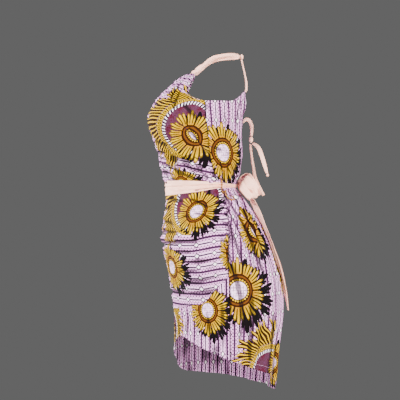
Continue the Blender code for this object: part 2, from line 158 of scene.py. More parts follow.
Section = namedtuple("Section", "z front middle back half_width seam")
FORM = [
    Section(-0.050, -0.090, -0.018, 0.055, 0.066, -0.030),
    Section(-0.077, -0.140, -0.035, 0.064, 0.108, -0.040),
    Section(-0.105, -0.168, -0.046, 0.069, 0.138, -0.050),
    Section(-0.142, -0.196, -0.060, 0.069, 0.152, -0.054),
    Section(-0.192, -0.208, -0.069, 0.057, 0.149, -0.051),
    Section(-0.240, -0.203, -0.068, 0.054, 0.137, -0.046),
    Section(-0.297, -0.191, -0.065, 0.056, 0.125, -0.040),
    Section(-0.348, -0.180, -0.063, 0.048, 0.117, -0.027),
    Section(-0.393, -0.168, -0.062, 0.036, 0.115, -0.009),
    Section(-0.435, -0.170, -0.053, 0.062, 0.127, 0.006),
    Section(-0.486, -0.176, -0.040, 0.097, 0.147, 0.012),
    Section(-0.540, -0.183, -0.028, 0.127, 0.164, 0.013),
    Section(-0.608, -0.171, -0.012, 0.153, 0.177, 0.014),
    Section(-0.678, -0.157, 0.004, 0.172, 0.183, 0.015),
    Section(-0.760, -0.146, 0.014, 0.177, 0.184, 0.016),
    Section(-0.860, -0.143, 0.012, 0.164, 0.181, 0.017),
    Section(-1.010, -0.149, 0.004, 0.148, 0.176, 0.017),
]
CUP_ANGLE, CUP_Z, CUP_RISE, CUP_SPREAD, CUP_HEIGHT = 37.0, -0.196, 0.034, 20.0, 0.047
FLUTE_RISE, FLUTE_STEP, FLUTE_START, FLUTE_FULL = 0.006, 34.0, 95.0, 125.0
SEAM_TURN = 46.0     # degrees of bearing at the side for each half width of cloth, halved

EdgeRow = namedtuple("EdgeRow", "z angle")
BIB_EDGE = [
    EdgeRow(BIB_TOP_Z, 43.0),
    EdgeRow(-0.064, 49.0),
    EdgeRow(-0.077, 57.0),
    EdgeRow(-0.097, 60.5),
    EdgeRow(-0.116, 64.0),
    EdgeRow(-0.129, 73.0),
    EdgeRow(-0.138, 83.5),
    EdgeRow(UNDERARM_Z, 91.5),
]
SLIT_SIDE = [
    EdgeRow(-0.108, 165.0),
    EdgeRow(-0.150, 170.0),
    EdgeRow(SLIT_END_Z, CENTRE_BACK),
    EdgeRow(WAIST_Z, CENTRE_BACK),
]
TopRow = namedtuple("TopRow", "share z")
BACK_TOP = [
    TopRow(0.00, UNDERARM_Z),
    TopRow(0.42, -0.1420),
    TopRow(0.58, -0.1370),
    TopRow(0.73, -0.1240),
    TopRow(0.86, -0.1130),
    TopRow(1.00, -0.1080),
]
RoundRow = namedtuple("RoundRow", "angle z")
FRONT_JOIN = [
    RoundRow(0.0, -0.756),
    RoundRow(30.0, -0.750),
    RoundRow(50.0, -0.740),
    RoundRow(66.0, -0.730),
    RoundRow(79.0, -0.692),
    RoundRow(92.0, -0.655),
]
HEM = [
    RoundRow(-180.0, -1.000),
    RoundRow(-150.0, -0.993),
    RoundRow(-120.0, -0.985),
    RoundRow(-90.0, -0.972),
    RoundRow(-60.0, -0.962),
    RoundRow(-30.0, -0.945),
    RoundRow(-10.0, -0.905),
    RoundRow(0.0, -0.880),
    RoundRow(15.0, -0.845),
    RoundRow(30.0, -0.832),
    RoundRow(60.0, -0.860),
    RoundRow(90.0, -0.893),
    RoundRow(120.0, -0.922),
    RoundRow(150.0, -0.948),
    RoundRow(165.0, -0.975),
    RoundRow(180.0, -1.000),
]
print("form rows", len(FORM), "hem rows", len(HEM))

# %% [markdown]
# ## Reading the tables
# A value between two rows comes from a smooth curve through them. Its slopes are kept low enough
# that it never swings past a row, so a waist stays a waist. NumPy reads a whole panel at once.

# %% Smooth curves through tables


def read(rows, along, column, place):
    """Read one column at many places, on a smooth curve through the table's rows."""
    ordered = sorted(rows, key=lambda row: getattr(row, along))
    x = np.array([getattr(row, along) for row in ordered], float)
    y = np.array([getattr(row, column) for row in ordered], float)
    grades = np.diff(y) / np.diff(x)
    before = np.concatenate([grades[:1], grades])
    after = np.concatenate([grades, grades[-1:]])
    limit = 3.0 * np.minimum(np.abs(before), np.abs(after))
    slopes = np.where(before * after <= 0.0, 0.0, np.clip((before + after) / 2, -limit, limit))
    place = np.clip(np.asarray(place, float), x[0], x[-1])
    step = np.clip(np.searchsorted(x, place, side="left") - 1, 0, len(x) - 2)
    width = x[step + 1] - x[step]
    t = (place - x[step]) / width
    return ((2 * t**3 - 3 * t**2 + 1) * y[step] + (t**3 - 2 * t**2 + t) * width * slopes[step]
            + (3 * t**2 - 2 * t**3) * y[step + 1] + (t**3 - t**2) * width * slopes[step + 1])


def mix(low, high, share):
    """The value a share of the way from low to high."""
    return low + (high - low) * share


def ease(value, start, end):
    """0 before start, 1 after end, and a soft step between them."""
    t = np.clip((value - start) / (end - start), 0.0, 1.0)
    return t * t * (3.0 - 2.0 * t)


def cosine(degrees):
    """The cosine of angles in degrees."""
    return np.cos(np.radians(degrees))


def sine(degrees):
    """The sine of angles in degrees."""
    return np.sin(np.radians(degrees))


print("waist half width", float(read(FORM, "z", "half_width", WAIST_Z)))

# %% [markdown]
# ## Points on the form
# The plan section is two half ellipses that share their widest point, one for the front and one
# for the back. Two round swellings make the bust cups and a slow wave makes the skirt's flutes.

# %% The form's surface


def section_point(angle, z):
    """Points on the plain section, as an array with x, y and z last."""
    front, middle, back, half_width = (
        read(FORM, "z", column, z) for column in ("front", "middle", "back", "half_width"))
    forward = cosine(angle)
    depth = np.where(forward > 0, middle - front, back - middle)
    return np.stack([half_width * sine(angle), middle - depth * forward, z], axis=-1)


def swelling(angle, z):
    """How far the cups and the back flutes stand out of the plain section."""
    angle = (angle + 180.0) % 360.0 - 180.0
    height = np.exp(-0.5 * ((z - CUP_Z) / CUP_HEIGHT) ** 2)
    left = np.exp(-0.5 * ((angle - CUP_ANGLE) / CUP_SPREAD) ** 2)
    right = np.exp(-0.5 * ((angle + CUP_ANGLE) / CUP_SPREAD) ** 2)
    fall = np.clip((WAIST_Z - z) / (WAIST_Z + 1.0), 0.0, 1.0)
    turn = np.abs(angle)
    behind = np.clip((turn - FLUTE_START) / (FLUTE_FULL - FLUTE_START), 0.0, 1.0)
    flutes = FLUTE_RISE * fall * behind * cosine((180.0 - turn) * 360.0 / FLUTE_STEP)
    return CUP_RISE * height * (left + right) + flutes


def form_point(angle, z):
    """Points on the inside of the cloth."""
    ahead = section_point(angle + 1.0, z) - section_point(angle - 1.0, z)
    outward = np.stack([ahead[..., 1], -ahead[..., 0], np.zeros_like(z)], axis=-1)
    outward /= np.linalg.norm(outward, axis=-1, keepdims=True)
    return section_point(angle, z) + outward * swelling(angle, z)[..., None]


def form_normal(angle, z):
    """The way out of the cloth."""
    around = form_point(angle + 0.5, z) - form_point(angle - 0.5, z)
    upward = form_point(angle, z + 0.002) - form_point(angle, z - 0.002)
    normal = np.cross(around, upward)
    return normal / np.linalg.norm(normal, axis=-1, keepdims=True)


def seam_angle(z):
    """Where the side seam runs round the form at each height."""
    z = np.asarray(z, float)
    front, middle, back, seam = (
        read(FORM, "z", column, z) for column in ("front", "middle", "back", "seam"))
    depth = np.where(seam < middle, middle - front, back - middle)
    return np.degrees(np.arccos((middle - seam) / depth))


def gap_angle(z):
    """Half the clearance at a seam, as an angle."""
    return SEAM_TURN * GAP / read(FORM, "z", "half_width", z)


print("side seam at the waist", round(float(seam_angle(WAIST_Z)), 1), "degrees from the front")

# %% [markdown]
# ## Creases placed one by one
# Each crease is a row: where it starts and ends round the form, how far it bows, how deep and how
# wide it is. A trough with a low ridge beside it looks like pulled cotton. Its depth fades to
# nothing at both ends, and the rows vary in length, bow and depth as real creases do.

# %% Creases
DEGREE = 0.0026     # metres of cloth for a degree round the form, near enough for creases
Crease = namedtuple("Crease", "angle0 z0 angle1 z1 bow depth width")


def crease_relief(angle, z, creases):
    """The height that a list of creases adds to the cloth, negative in a trough."""
    relief = np.zeros_like(z)
    for c in creases:
        start = np.array([c.angle0 * DEGREE, c.z0])
        chord = np.array([c.angle1 * DEGREE, c.z1]) - start
        length = np.linalg.norm(chord)
        chord /= length
        x = angle * DEGREE - start[0]
        y = z - start[1]
        t = np.clip((x * chord[0] + y * chord[1]) / length, 0.0, 1.0)
        off = (-x * chord[1] + y * chord[0]) - c.bow * 4.0 * t * (1.0 - t)
        fade = np.sin(pi * t) ** 0.7
        trough = np.exp(-(off / c.width) ** 2)
        ridge = 0.55 * np.exp(-((off - 1.7 * c.width) / (1.1 * c.width)) ** 2)
        relief += c.depth * fade * (ridge - trough)
    return relief


def mirrored(creases, drop):
    """Creases like these on the other side, a little lower so that the two sides differ."""
    return [c._replace(angle0=-c.angle0, angle1=-c.angle1, z0=c.z0 - drop, z1=c.z1 - 0.6 * drop,
                       bow=-c.bow, depth=0.9 * c.depth) for c in creases]


def from_side_seam(angle, z):
    """How far a point lies from the side seam, in metres, also past a half turn."""
    turn = 180.0 - np.abs(180.0 - np.abs(angle))
    return np.abs(turn - seam_angle(z)) * DEGREE


def clear_of_waist(z, way):
    """0 at the waist seam, where the sash lies flat, and 1 past it: way is 1 up and -1 down."""
    return ease(z, WAIST_Z - 0.004 * way, WAIST_Z + 0.012 * way)


def gathers(angle, number, sway, beat, shift=0.0):
    """Waves of cloth, number of them to a full turn, swayed so that no two match."""
    return cosine(angle * number + sway * sine(angle * beat + shift))


print("creases fade at both ends")

# %% [markdown]
# ## A panel of cloth
# A panel is a flat grid made by bmesh, bent onto the form. Beside its shape it keeps a map in
# metres of the flat cut, called cut, so that a flower printed on it has its real size. A second
# map, called grain, follows how the stripes sway on the worn cloth, and an attribute called fold
# keeps the height of the creases, where shade is painted into the hollows. A Solidify modifier
# gives the wall.

# %% Panel builder
Grid = namedtuple("Grid", "across angle z plain")
Panel = namedtuple("Panel", "piece angle z u v points normals")


def grid_shares(build, columns, rows):
    """A unit grid in build, and the column and row number of each of its points."""
    bmesh.ops.create_grid(build, x_segments=columns, y_segments=rows, size=0.5)
    build.verts.ensure_lookup_table()
    flat = np.array([v.co[:2] for v in build.verts])
    return (np.rint((flat[:, 0] + 0.5) * columns).astype(int),
            np.rint((0.5 - flat[:, 1]) * rows).astype(int))


def finish_sheet(name, build, column, row, points, height, maps, material, wall, offset):
    """Bend a grid to its points, write its two maps and its folds, and give it a wall."""
    u, v, slip = maps
    for vert, i, j in zip(build.verts, column, row):
        vert.co = points[j, i]
    cut = build.loops.layers.uv.new("cut")
    grain = build.loops.layers.uv.new("grain")
    numbers = {vert: (i, j) for vert, i, j in zip(build.verts, column, row)}
    for face in build.faces:
        for loop in face.loops:
            i, j = numbers[loop.vert]
            loop[cut].uv = (u[j, i], v[j, i])
            loop[grain].uv = (u[j, i], v[j, i] + slip[j, i])
    piece = make_object(name, build, material)
    fold = piece.data.attributes.new("fold", "FLOAT", "POINT")
    fold.data.foreach_set("value", height[row, column].astype(np.float32))
    solid = piece.modifiers.new("wall", "SOLIDIFY")
    solid.thickness = wall
    solid.offset = offset
    solid.use_even_offset = False
    return piece


def point_outwards(build, points, normals, column, row):
    """Turn the grid's faces so that they look the way that the normals do."""
    build.faces.ensure_lookup_table()
    face = build.faces[len(build.faces) // 2]
    corner = [(row[v.index], column[v.index]) for v in face.verts]
    a, b, c = (points[place] for place in corner[:3])
    if np.dot(np.cross(b - a, c - b), normals[corner[0]]) < 0:
        bmesh.ops.reverse_faces(build, faces=build.faces)


def cloth_panel(name, columns, rows, where, cut, relief):
    """A panel of cloth, whose print is put on it later.

    where gives angle and height for shares across and along, cut gives the map in metres and the
    stripes' sway for the same grid, and relief gives the height of its creases.
    """
    build = bmesh.new()
    column, row = grid_shares(build, columns, rows)
    across, along = np.meshgrid(np.linspace(0, 1, columns + 1), np.linspace(0, 1, rows + 1))
    angle, z = where(across, along)
    plain = form_point(angle, z)
    normals = form_normal(angle, z)
    maps = cut(Grid(across, angle, z, plain))
    height = relief(angle, z)
    points = plain + normals * height[..., None]
    point_outwards(build, points, normals, column, row)
    piece = finish_sheet(name, build, column, row, points, height, maps, None, CLOTH, 1.0)
    u, v = maps[:2]
    print(name, len(piece.data.vertices), "points,", round(np.ptp(u), 3), "x", round(np.ptp(v), 3), "m")
    return Panel(piece, angle, z, u, v, points, normals)


def declare(piece, node):
    """Hide the CAD node that a piece stands for, and say what the piece rides on."""
    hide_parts(node)
    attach(piece, "root")


print("panel builder ready")

# %% [markdown]
# ## Mixing the print's colours
# Wax print is dyed cotton: a lilac ground with violet lines, and figures laid over it in yellow,
# brown and maroon. Each figure is drawn in nodes, from distances and angles on the cut map. The
# two small classes below write one node for each step of the sum, so a pattern reads as a formula.

# %% Helpers that write nodes


class Sum:
    """A number that nodes work out. Python's own signs on it write more nodes."""

    def __init__(self, net, socket):
        self.net = net
        self.socket = socket

    def __add__(self, other):
        return self.net.math("ADD", self, other)

    def __sub__(self, other):
        return self.net.math("SUBTRACT", self, other)

    def __rsub__(self, other):
        return self.net.math("SUBTRACT", other, self)

    def __mul__(self, other):
        return self.net.math("MULTIPLY", self, other)

    def __truediv__(self, other):
        return self.net.math("DIVIDE", self, other)

    def __pow__(self, other):
        return self.net.math("POWER", self, other)

    def __abs__(self):
        return self.net.math("ABSOLUTE", self)


class Net:
    """Writes nodes into a tree. A value may be a number, a Sum, a vector, a colour or a socket."""

    def __init__(self, tree):
        self.tree = tree

    def node(self, kind, **settings):
        """A new node of a kind, with its settings."""
        made = self.tree.nodes.new(kind)
        for name, value in settings.items():
            setattr(made, name, value)
        return made

    def feed(self, socket, value):
        """Link a value to a socket, or set it there."""
        if isinstance(value, Sum):
            value = value.socket
        if isinstance(value, bpy.types.NodeSocket):
            self.tree.links.new(value, socket)
        else:
            socket.default_value = value

    def math(self, operation, first, second=0.0):
        """One step of arithmetic on numbers."""
        made = self.node("ShaderNodeMath", operation=operation)
        self.feed(made.inputs[0], first)
        self.feed(made.inputs[1], second)
        return Sum(self, made.outputs[0])

    def vector(self, operation, first, second=(0.0, 0.0, 0.0)):
        """One step of arithmetic on vectors."""
        made = self.node("ShaderNodeVectorMath", operation=operation)
        self.feed(made.inputs[0], first)
        self.feed(made.inputs[1], second)
        if operation in ("LENGTH", "DOT_PRODUCT"):
            return Sum(self, made.outputs["Value"])
        return made.outputs["Vector"]

    def split(self, value):
        """The x and y of a vector."""
        made = self.node("ShaderNodeSeparateXYZ")
        self.feed(made.inputs[0], value)
        return Sum(self, made.outputs[0]), Sum(self, made.outputs[1])

    def join(self, x, y):
        """The vector with this x and y."""
        made = self.node("ShaderNodeCombineXYZ")
        self.feed(made.inputs[0], x)
        self.feed(made.inputs[1], y)
        return made.outputs[0]

    def dye(self, under, over, share):
        """One colour laid over another: none of it where share is 0, all of it where it is 1."""
        made = self.node("ShaderNodeMix", data_type="RGBA")
        self.feed(made.inputs["Factor"], share)
        self.feed(made.inputs[6], under)
        self.feed(made.inputs[7], over)
        return made.outputs[2]

    def choose(self, share, low, high):
        """A vector between two vectors."""
        made = self.node("ShaderNodeMix", data_type="VECTOR")
        self.feed(made.inputs["Factor"], share)
        self.feed(made.inputs[4], low)
        self.feed(made.inputs[5], high)
        return made.outputs[1]

    def step(self, value, start, end):
        """0 before start and 1 after end, or the other way round when start is the larger."""
        made = self.node("ShaderNodeMapRange", interpolation_type="SMOOTHSTEP")
        self.feed(made.inputs["Value"], value)
        made.inputs["From Min"].default_value = min(start, end)
        made.inputs["From Max"].default_value = max(start, end)
        made.inputs["To Min"].default_value = 0.0 if start < end else 1.0
        made.inputs["To Max"].default_value = 1.0 if start < end else 0.0
        return Sum(self, made.outputs["Result"])

    def random(self, value, seed):
        """A number from 0 to 1 for each whole number."""
        made = self.node("ShaderNodeTexWhiteNoise", noise_dimensions="2D")
        self.feed(made.inputs["Vector"], self.join(value, seed))
        return Sum(self, made.outputs["Value"])

    def noise(self, place, scale, detail):
        """A cloudy number between 0 and 1."""
        made = self.node("ShaderNodeTexNoise")
        self.feed(made.inputs["Vector"], place)
        made.inputs["Scale"].default_value = scale
        made.inputs["Detail"].default_value = detail
        return Sum(self, made.outputs["Fac"])

    def wave(self, value, period):
        """How far a value lies from the middle of its period, 0 in the middle and 1 at the ends."""
        return abs(self.math("FRACT", value / period) * 2.0 - 1.0)

    def count(self, share, number):
        """A turn cut in equal cells: the cell's number and the place in it, from -0.5 to 0.5."""
        cells = share * number
        cell = self.math("FLOOR", cells)
        return cell, cells - cell - 0.5

    def either(self, first, second):
        """The larger of two values, which also joins two masks."""
        return self.math("MAXIMUM", first, second)


SOCKET_KINDS = {"Color": "NodeSocketColor", "Mask": "NodeSocketFloat"}


def new_group(name, *labels):
    """A group that colours a place: the group, the net that fills it, the place and the result."""
    tree = bpy.data.node_groups.new(name, "ShaderNodeTree")
    tree.interface.new_socket("Place", in_out="INPUT", socket_type="NodeSocketVector")
    for label in labels:
        tree.interface.new_socket(label, in_out="OUTPUT", socket_type=SOCKET_KINDS[label])
    net = Net(tree)
    return tree, net, net.node("NodeGroupInput").outputs[0], net.node("NodeGroupOutput")


print("node helpers ready")

# %% Dyes
LILAC = (0.90, 0.42, 0.86, 1.0)
PALE_LILAC = (0.90, 0.62, 0.92, 1.0)
WHITE_DYE = (0.98, 0.86, 0.98, 1.0)
VIOLET = (0.015, 0.0035, 0.018, 1.0)
MAUVE = (0.110, 0.030, 0.105, 1.0)
YELLOW = (0.50, 0.305, 0.0, 1.0)
PALE_YELLOW = (0.70, 0.47, 0.0, 1.0)
ORANGE = (0.45, 0.155, 0.0, 1.0)
RUST = (0.085, 0.018, 0.001, 1.0)
TAN = (0.11, 0.036, 0.003, 1.0)
DARK_BROWN = (0.015, 0.003, 0.0006, 1.0)
# near black: the print's black flower shadows, and also the shade painted into creases
SHADOW = (0.002, 0.0007, 0.0015, 1.0)
MAROON = (0.056, 0.017, 0.032, 1.0)
WINE = (0.055, 0.004, 0.010, 1.0)
print("dyes mixed")

# %% [markdown]
# ## Ground stripes
# The ground repeats every 31 mm. A thick dark line with a mauve shade on one side alternates with
# a thin line that has a pale halo and carries white diamonds, which stand in rows across the
# cloth. Fine violet dots fill the space between, in a grid turned by 45 degrees. Every width is
# measured from the middle of the thick line or of the thin one.

# %% Ground stripes group
STRIPE = 0.0314
DIAMOND_STEP = 0.0566
DOT_STEP = 0.0104
WOBBLE = 0.0022
PINSTRIPE_AT = 0.0082
DIAMOND_SLIM = 0.78


def stripes_group():
    """Colour of the ground for a place in metres, x across the stripes and y along them."""
    tree, net, place, result = new_group("ground_stripes", "Color")
    x, y = net.split(place)
    x = x + (net.noise(place, 90.0, 3.0) * WOBBLE - WOBBLE / 2)
    turn = net.math("FRACT", x / STRIPE)
    thick = abs(turn - 0.5) * STRIPE
    thin = (0.5 - abs(turn - 0.5)) * STRIPE

    dot = (net.step(net.wave(x + y, DOT_STEP), 0.66, 0.34)
           * net.step(net.wave(x - y, DOT_STEP), 0.66, 0.34))
    color = net.dye(LILAC, VIOLET, dot * net.step(thin, 0.0032, 0.0048) * 0.95)
    shade = net.step(turn, 0.28, 0.46) * net.step(turn, 0.66, 0.52)
    color = net.dye(color, MAUVE, shade * 0.88)
    rough = net.noise(place, 420.0, 2.0) * 0.0020 + 0.0011
    color = net.dye(color, VIOLET, net.step(thick - rough, 0.0020, -0.0004) * 0.95)
    color = net.dye(color, VIOLET, net.step(abs(thin - PINSTRIPE_AT), 0.0011, 0.0004) * 0.75)
    color = net.dye(color, PALE_LILAC, net.step(thin, 0.0044, 0.0034) * 0.75)

    along = net.wave(y, DIAMOND_STEP) * (DIAMOND_STEP / 2)
    reach = along * DIAMOND_SLIM + thin
    outline = net.either(net.step(thin, 0.0027, 0.0018), net.step(reach, 0.0092, 0.0082))
    color = net.dye(color, VIOLET, outline * 0.97)
    color = net.dye(color, WHITE_DYE, net.step(reach, 0.0052, 0.0044))
    net.feed(result.inputs[0], color)
    return tree


GROUND = stripes_group()
print("ground repeats every", STRIPE, "m")

# %% [markdown]
# ## Sunflower
# The flower is drawn in polar form, with the petals' reach as 1: fourteen petals of three rounded
# lobes each, with a random length for each lobe and a dark gap between petals. Inside them lie a
# dark ring, a brown band, a ring of yellow beads and a pale hatched disc. The same outline, moved
# aside and a little larger, is the black shadow.

# %% Sunflower groups
PETALS = 14
LOBES = 3
BEADS = 25
OUTER_RING = 0.492
INNER_RING = 0.396
BEAD_RING = 0.336
HATCH_STEP = 0.085


def polar(net, place):
    """A place's radius, and its bearing as a share of a turn."""
    x, y = net.split(place)
    return net.vector("LENGTH", place), net.math("ARCTAN2", y, x) / (2.0 * pi)


def petal_outline(net, place):
    """What a flower and its shadow share: radius, bearing and petal of a place, how far it lies
    from the middle of its petal and of its lobe, and how far past the petals' edge."""
    radius, share = polar(net, place)
    bent = share + net.math("SINE", share * (4.0 * pi)) * 0.012
    petal, spot = net.count(bent, PETALS)
    lobe_number, lobe = net.count(bent, LOBES * PETALS)
    spot, lobe = abs(spot), abs(lobe)
    length = net.random(lobe_number, 3.7) * 0.17 + 0.90
    rounded = lobe ** 2.6 * 0.80 + spot ** 2.0 * 0.50
    notch = net.step(spot, 0.40, 0.49) * (net.random(petal, 8.1) * 0.30 + 0.14)
    return radius, share, petal, spot, lobe, radius - (length - rounded - notch)


def sunflower_group():
    """Colour and mask of a flower whose petals reach 1."""
    tree, net, place, result = new_group("sunflower", "Color", "Mask")
    radius, share, petal, spot, lobe, past = petal_outline(net, place)
    tinted = net.step(net.random(petal, 1.3), 0.45, 0.85) * net.step(radius, 0.85, 0.45)
    color = net.dye(YELLOW, ORANGE, net.either(tinted, net.step(radius, 0.66, 0.48)) * 0.70)
    tips = net.step(radius, 0.72, 0.92) * net.step(net.noise(place, 26.0, 2.0), 0.45, 0.62)
    color = net.dye(color, PALE_YELLOW, tips * 0.6)
    vein_end = net.random(petal, 5.9) * 0.22 + 0.62
    vein = net.step(lobe, 0.12, 0.04) * net.step(radius - vein_end, 0.03, -0.03)
    color = net.dye(color, RUST, vein * 0.55)
    split = net.step(lobe, 0.20, 0.36) * net.step(radius, 0.50, 0.60)
    color = net.dye(color, DARK_BROWN, split * 0.92)
    color = net.dye(color, DARK_BROWN, net.step(spot + radius * 0.030, 0.375, 0.435))
    color = net.dye(color, DARK_BROWN, net.step(past, -0.062, -0.030) * 0.80)

    band = net.step(radius, 0.505, 0.495)
    color = net.dye(color, TAN, band)
    rings = net.either(net.step(abs(radius - OUTER_RING), 0.036, 0.022),
                       net.step(abs(radius - INNER_RING), 0.020, 0.012))
    color = net.dye(color, DARK_BROWN, rings)
    fleck = band * net.step(net.noise(place, 40.0, 1.0), 0.56, 0.66)
    color = net.dye(color, RUST, fleck * 0.45)
    color = net.dye(color, DARK_BROWN, net.step(radius, 0.385, 0.375))
    beside_bead = abs(net.count(share, BEADS)[1]) * 0.085
    color = net.dye(color, YELLOW, net.step(beside_bead + abs(radius - BEAD_RING), 0.042, 0.032))

    x, y = net.split(place)
    hatch = net.either(net.step(net.wave(x, HATCH_STEP), 0.50, 0.75),
                       net.step(net.wave(y, HATCH_STEP), 0.50, 0.75))
    worn = net.step(net.noise(place, 7.0, 1.0), 0.32, 0.62)
    disc = net.dye(PALE_LILAC, MAUVE, hatch * worn * 0.80)
    color = net.dye(color, disc, net.step(radius, 0.290, 0.280))
    mask = net.either(net.step(past, 0.020, -0.004), net.step(radius, 0.54, 0.52))
    net.feed(result.inputs[0], color)
    net.feed(result.inputs[1], mask)
    return tree


def petal_shadow_group():
    """Only the mask of the petals."""
    tree, net, place, result = new_group("petal_shadow", "Mask")
    past = petal_outline(net, place)[-1]
    net.feed(result.inputs[0], net.step(past, 0.012, -0.012))
    return tree


SUNFLOWER = sunflower_group()
PETAL_SHADOW = petal_shadow_group()
print("a sunflower has", PETALS, "petals")

# %% [markdown]
# ## Medallion
# Some flowers sit on a round medallion: a maroon disc with the fine crackle that broken wax
# leaves, a rope of white dashes round it, and on one side a gold chain and a fan of feathers.
# The fan leans to one side, so its mask is the angle between a place and the way it leans.

# %% Medallion group
ROPE_DASHES = 52
CHAIN_LINKS = 34
CHAIN_RING = 1.11
FAN_START = 1.2
FEATHERS = 66


def medallion_group():
    """Colour and mask of a medallion whose rope reaches 1, with its fan towards -x."""
    tree, net, place, result = new_group("medallion", "Color", "Mask")
    x, y = net.split(place)
    radius, share = polar(net, place)

    cracks = net.node("ShaderNodeTexVoronoi", feature="DISTANCE_TO_EDGE")
    net.feed(cracks.inputs["Vector"], place)
    cracks.inputs["Scale"].default_value = 13.0
    disc = net.dye(MAROON, WINE, net.step(net.noise(place, 3.2, 3.0), 0.44, 0.62))
    disc = net.dye(disc, MAUVE, net.step(cracks.outputs["Distance"], 0.10, 0.03) * 0.38)

    dash = abs(net.count(share + radius * 0.055, ROPE_DASHES)[1])
    rope = net.dye(VIOLET, WHITE_DYE, net.step(dash, 0.24, 0.14))
    color = net.dye(disc, rope, net.step(radius, 0.885, 0.895))
    disc_mask = net.step(radius, 1.01, 0.99)

    side = (y * 0.30 - x * 0.95) / net.either(radius, 0.1)
    across = abs(net.count(share, CHAIN_LINKS)[1]) * 0.20
    height = abs(radius - CHAIN_RING)
    bead = net.math("SQRT", across ** 2.0 + height ** 2.0)
    chain = net.dye(YELLOW, DARK_BROWN, net.step(net.either(across, height), 0.078, 0.088))
    chain = net.dye(chain, DARK_BROWN, net.step(bead, 0.060, 0.050) * net.step(bead, 0.020, 0.030))
    chain_mask = (net.step(radius, 0.99, 1.01) * net.step(radius, 1.225, 1.205)
                  * net.step(side, -0.42, -0.36))

    curl = net.noise(place, 1.2, 1.0) * 0.05 - (radius - FAN_START) * 0.050
    feather, blade = net.count(share + curl, FEATHERS)
    blade = abs(blade)
    tip = net.random(feather, 6.4) * 0.55 + 1.75 - blade * 0.3
    feathers = net.dye(YELLOW, DARK_BROWN, net.step(blade, 0.12, 0.23))
    feather_mask = (net.step(radius, 1.205, 1.225) * net.step(side, 0.05, 0.20)
                    * net.step(radius - tip, 0.02, -0.02))
    color = net.dye(color, chain, chain_mask)
    color = net.dye(color, feathers, feather_mask)
    net.feed(result.inputs[0], color)
    net.feed(result.inputs[1], net.either(disc_mask, net.either(chain_mask, feather_mask)))
    return tree


MEDALLION = medallion_group()
print("medallion drawn")

# %% [markdown]
# ## Laying the print on a panel
# A cutter lays each pattern piece on the printed length, so every panel has its own part of the
# design. Of a short list of motifs, only the one nearest to a point is drawn there, so each group
# is used once. The ground comes first, then medallions, then the flowers' shadows and the flowers.
# A dart takes the cloth beside it out of the map. Shade is painted into the creases' hollows last.

# %% Placing motifs
Motif = namedtuple("Motif", "angle z radius hand")


def spot_on(panel, motif):
    """Where a motif's middle falls on a panel's cut map, in metres, even past the panel's edge."""
    away = ((panel.angle - motif.angle) * DEGREE) ** 2 + (panel.z - motif.z) ** 2
    near = np.unravel_index(np.argmin(away), away.shape)
    past = (motif.angle - panel.angle[near]) * DEGREE
    return panel.u[near] + past, panel.v[near] + motif.z - panel.z[near]


def nearest_motif(net, cut, panel, motifs):
    """The place relative to the nearest motif, in its own radii."""
    best = None
    for motif in motifs:
        away = net.vector("SUBTRACT", cut, (*spot_on(panel, motif), 0.0))
        away = net.vector("MULTIPLY", away, (motif.hand / motif.radius, 1.0 / motif.radius, 0.0))
        if best is None:
            best = away
            continue
        closer = net.math("LESS_THAN", net.vector("LENGTH", away), net.vector("LENGTH", best))
        best = net.choose(closer, best, away)
    return best


def use_group(net, tree, place):
    """One use of a group at a place."""
    made = net.node("ShaderNodeGroup", node_tree=tree)
    net.feed(made.inputs[0], place)
    return made.outputs


print("motifs can be placed")

# %% Weave, painted crease shade and darts
Dart = namedtuple("Dart", "angle z slope take hand")
DART_LIMIT = 0.0165
DART_SPREAD = 0.060
THREAD_STEP = 0.0009
BUMP_DEPTH = 0.0004


def new_material(name):
    """A Principled material, the net that fills it, and its shader."""
    material = bpy.data.materials.new(name)
    material.use_nodes = True
    return material, Net(material.node_tree), material.node_tree.nodes["Principled BSDF"]


def on_map(net, name):
    """Where a point lies on one of its piece's flat maps."""
    return net.node("ShaderNodeUVMap", uv_map=name).outputs[0]


def painted_crease_shade(net, depth):
    """Where shade is painted into creases: 0 on flat cloth and 1 in creases of this depth."""
    fold = net.node("ShaderNodeAttribute", attribute_name="fold").outputs["Fac"]
    return net.step(fold, -0.0003, -depth)


def add_bump(net, shader, height, strength, depth=BUMP_DEPTH):
    """Press a height, as a share of depth, into a shader's surface."""
    bump = net.node("ShaderNodeBump")
    bump.inputs["Strength"].default_value = strength
    bump.inputs["Distance"].default_value = depth
    net.feed(bump.inputs["Height"], height)
    net.feed(shader.inputs["Normal"], bump.outputs["Normal"])


def weave(net, cut):
    """The height of a plain weave: two crossed sets of fine threads, unevenly spun."""
    x, y = net.split(cut)
    return net.wave(x, THREAD_STEP) + net.wave(y, THREAD_STEP) + net.noise(cut, 700.0, 2.0)


def take_dart(net, panel, dart):
    """The cloth that a dart takes in, as a shift of the map, and the mask of its stitched line."""
    away = net.vector("SUBTRACT", on_map(net, "cut"), (*spot_on(panel, dart), 0.0))
    run = (dart.hand * cos(radians(dart.slope)), sin(radians(dart.slope)), 0.0)
    square = (-run[1], run[0], 0.0)
    along = net.vector("DOT_PRODUCT", away, run)
    aside = net.vector("DOT_PRODUCT", away, square)
    taken = net.math("MINIMUM", net.either(along, 0.0) * dart.take, DART_LIMIT)
    near = net.step(abs(aside), DART_SPREAD, 0.0)
    moved = net.node("ShaderNodeVectorMath", operation="SCALE")
    moved.inputs[0].default_value = square
    net.feed(moved.inputs["Scale"], net.math("SIGN", aside) * (taken * near))
    line = net.step(abs(aside), 0.0018, 0.0009) * net.step(along, 0.0, 0.004)
    return moved.outputs[0], line


print("a dart takes in up to", DART_LIMIT, "m on each side")

# %% Print material
SHADOW_MOVE = (0.30, -0.16, 0.0)
SHADOW_SIZE = 1.10


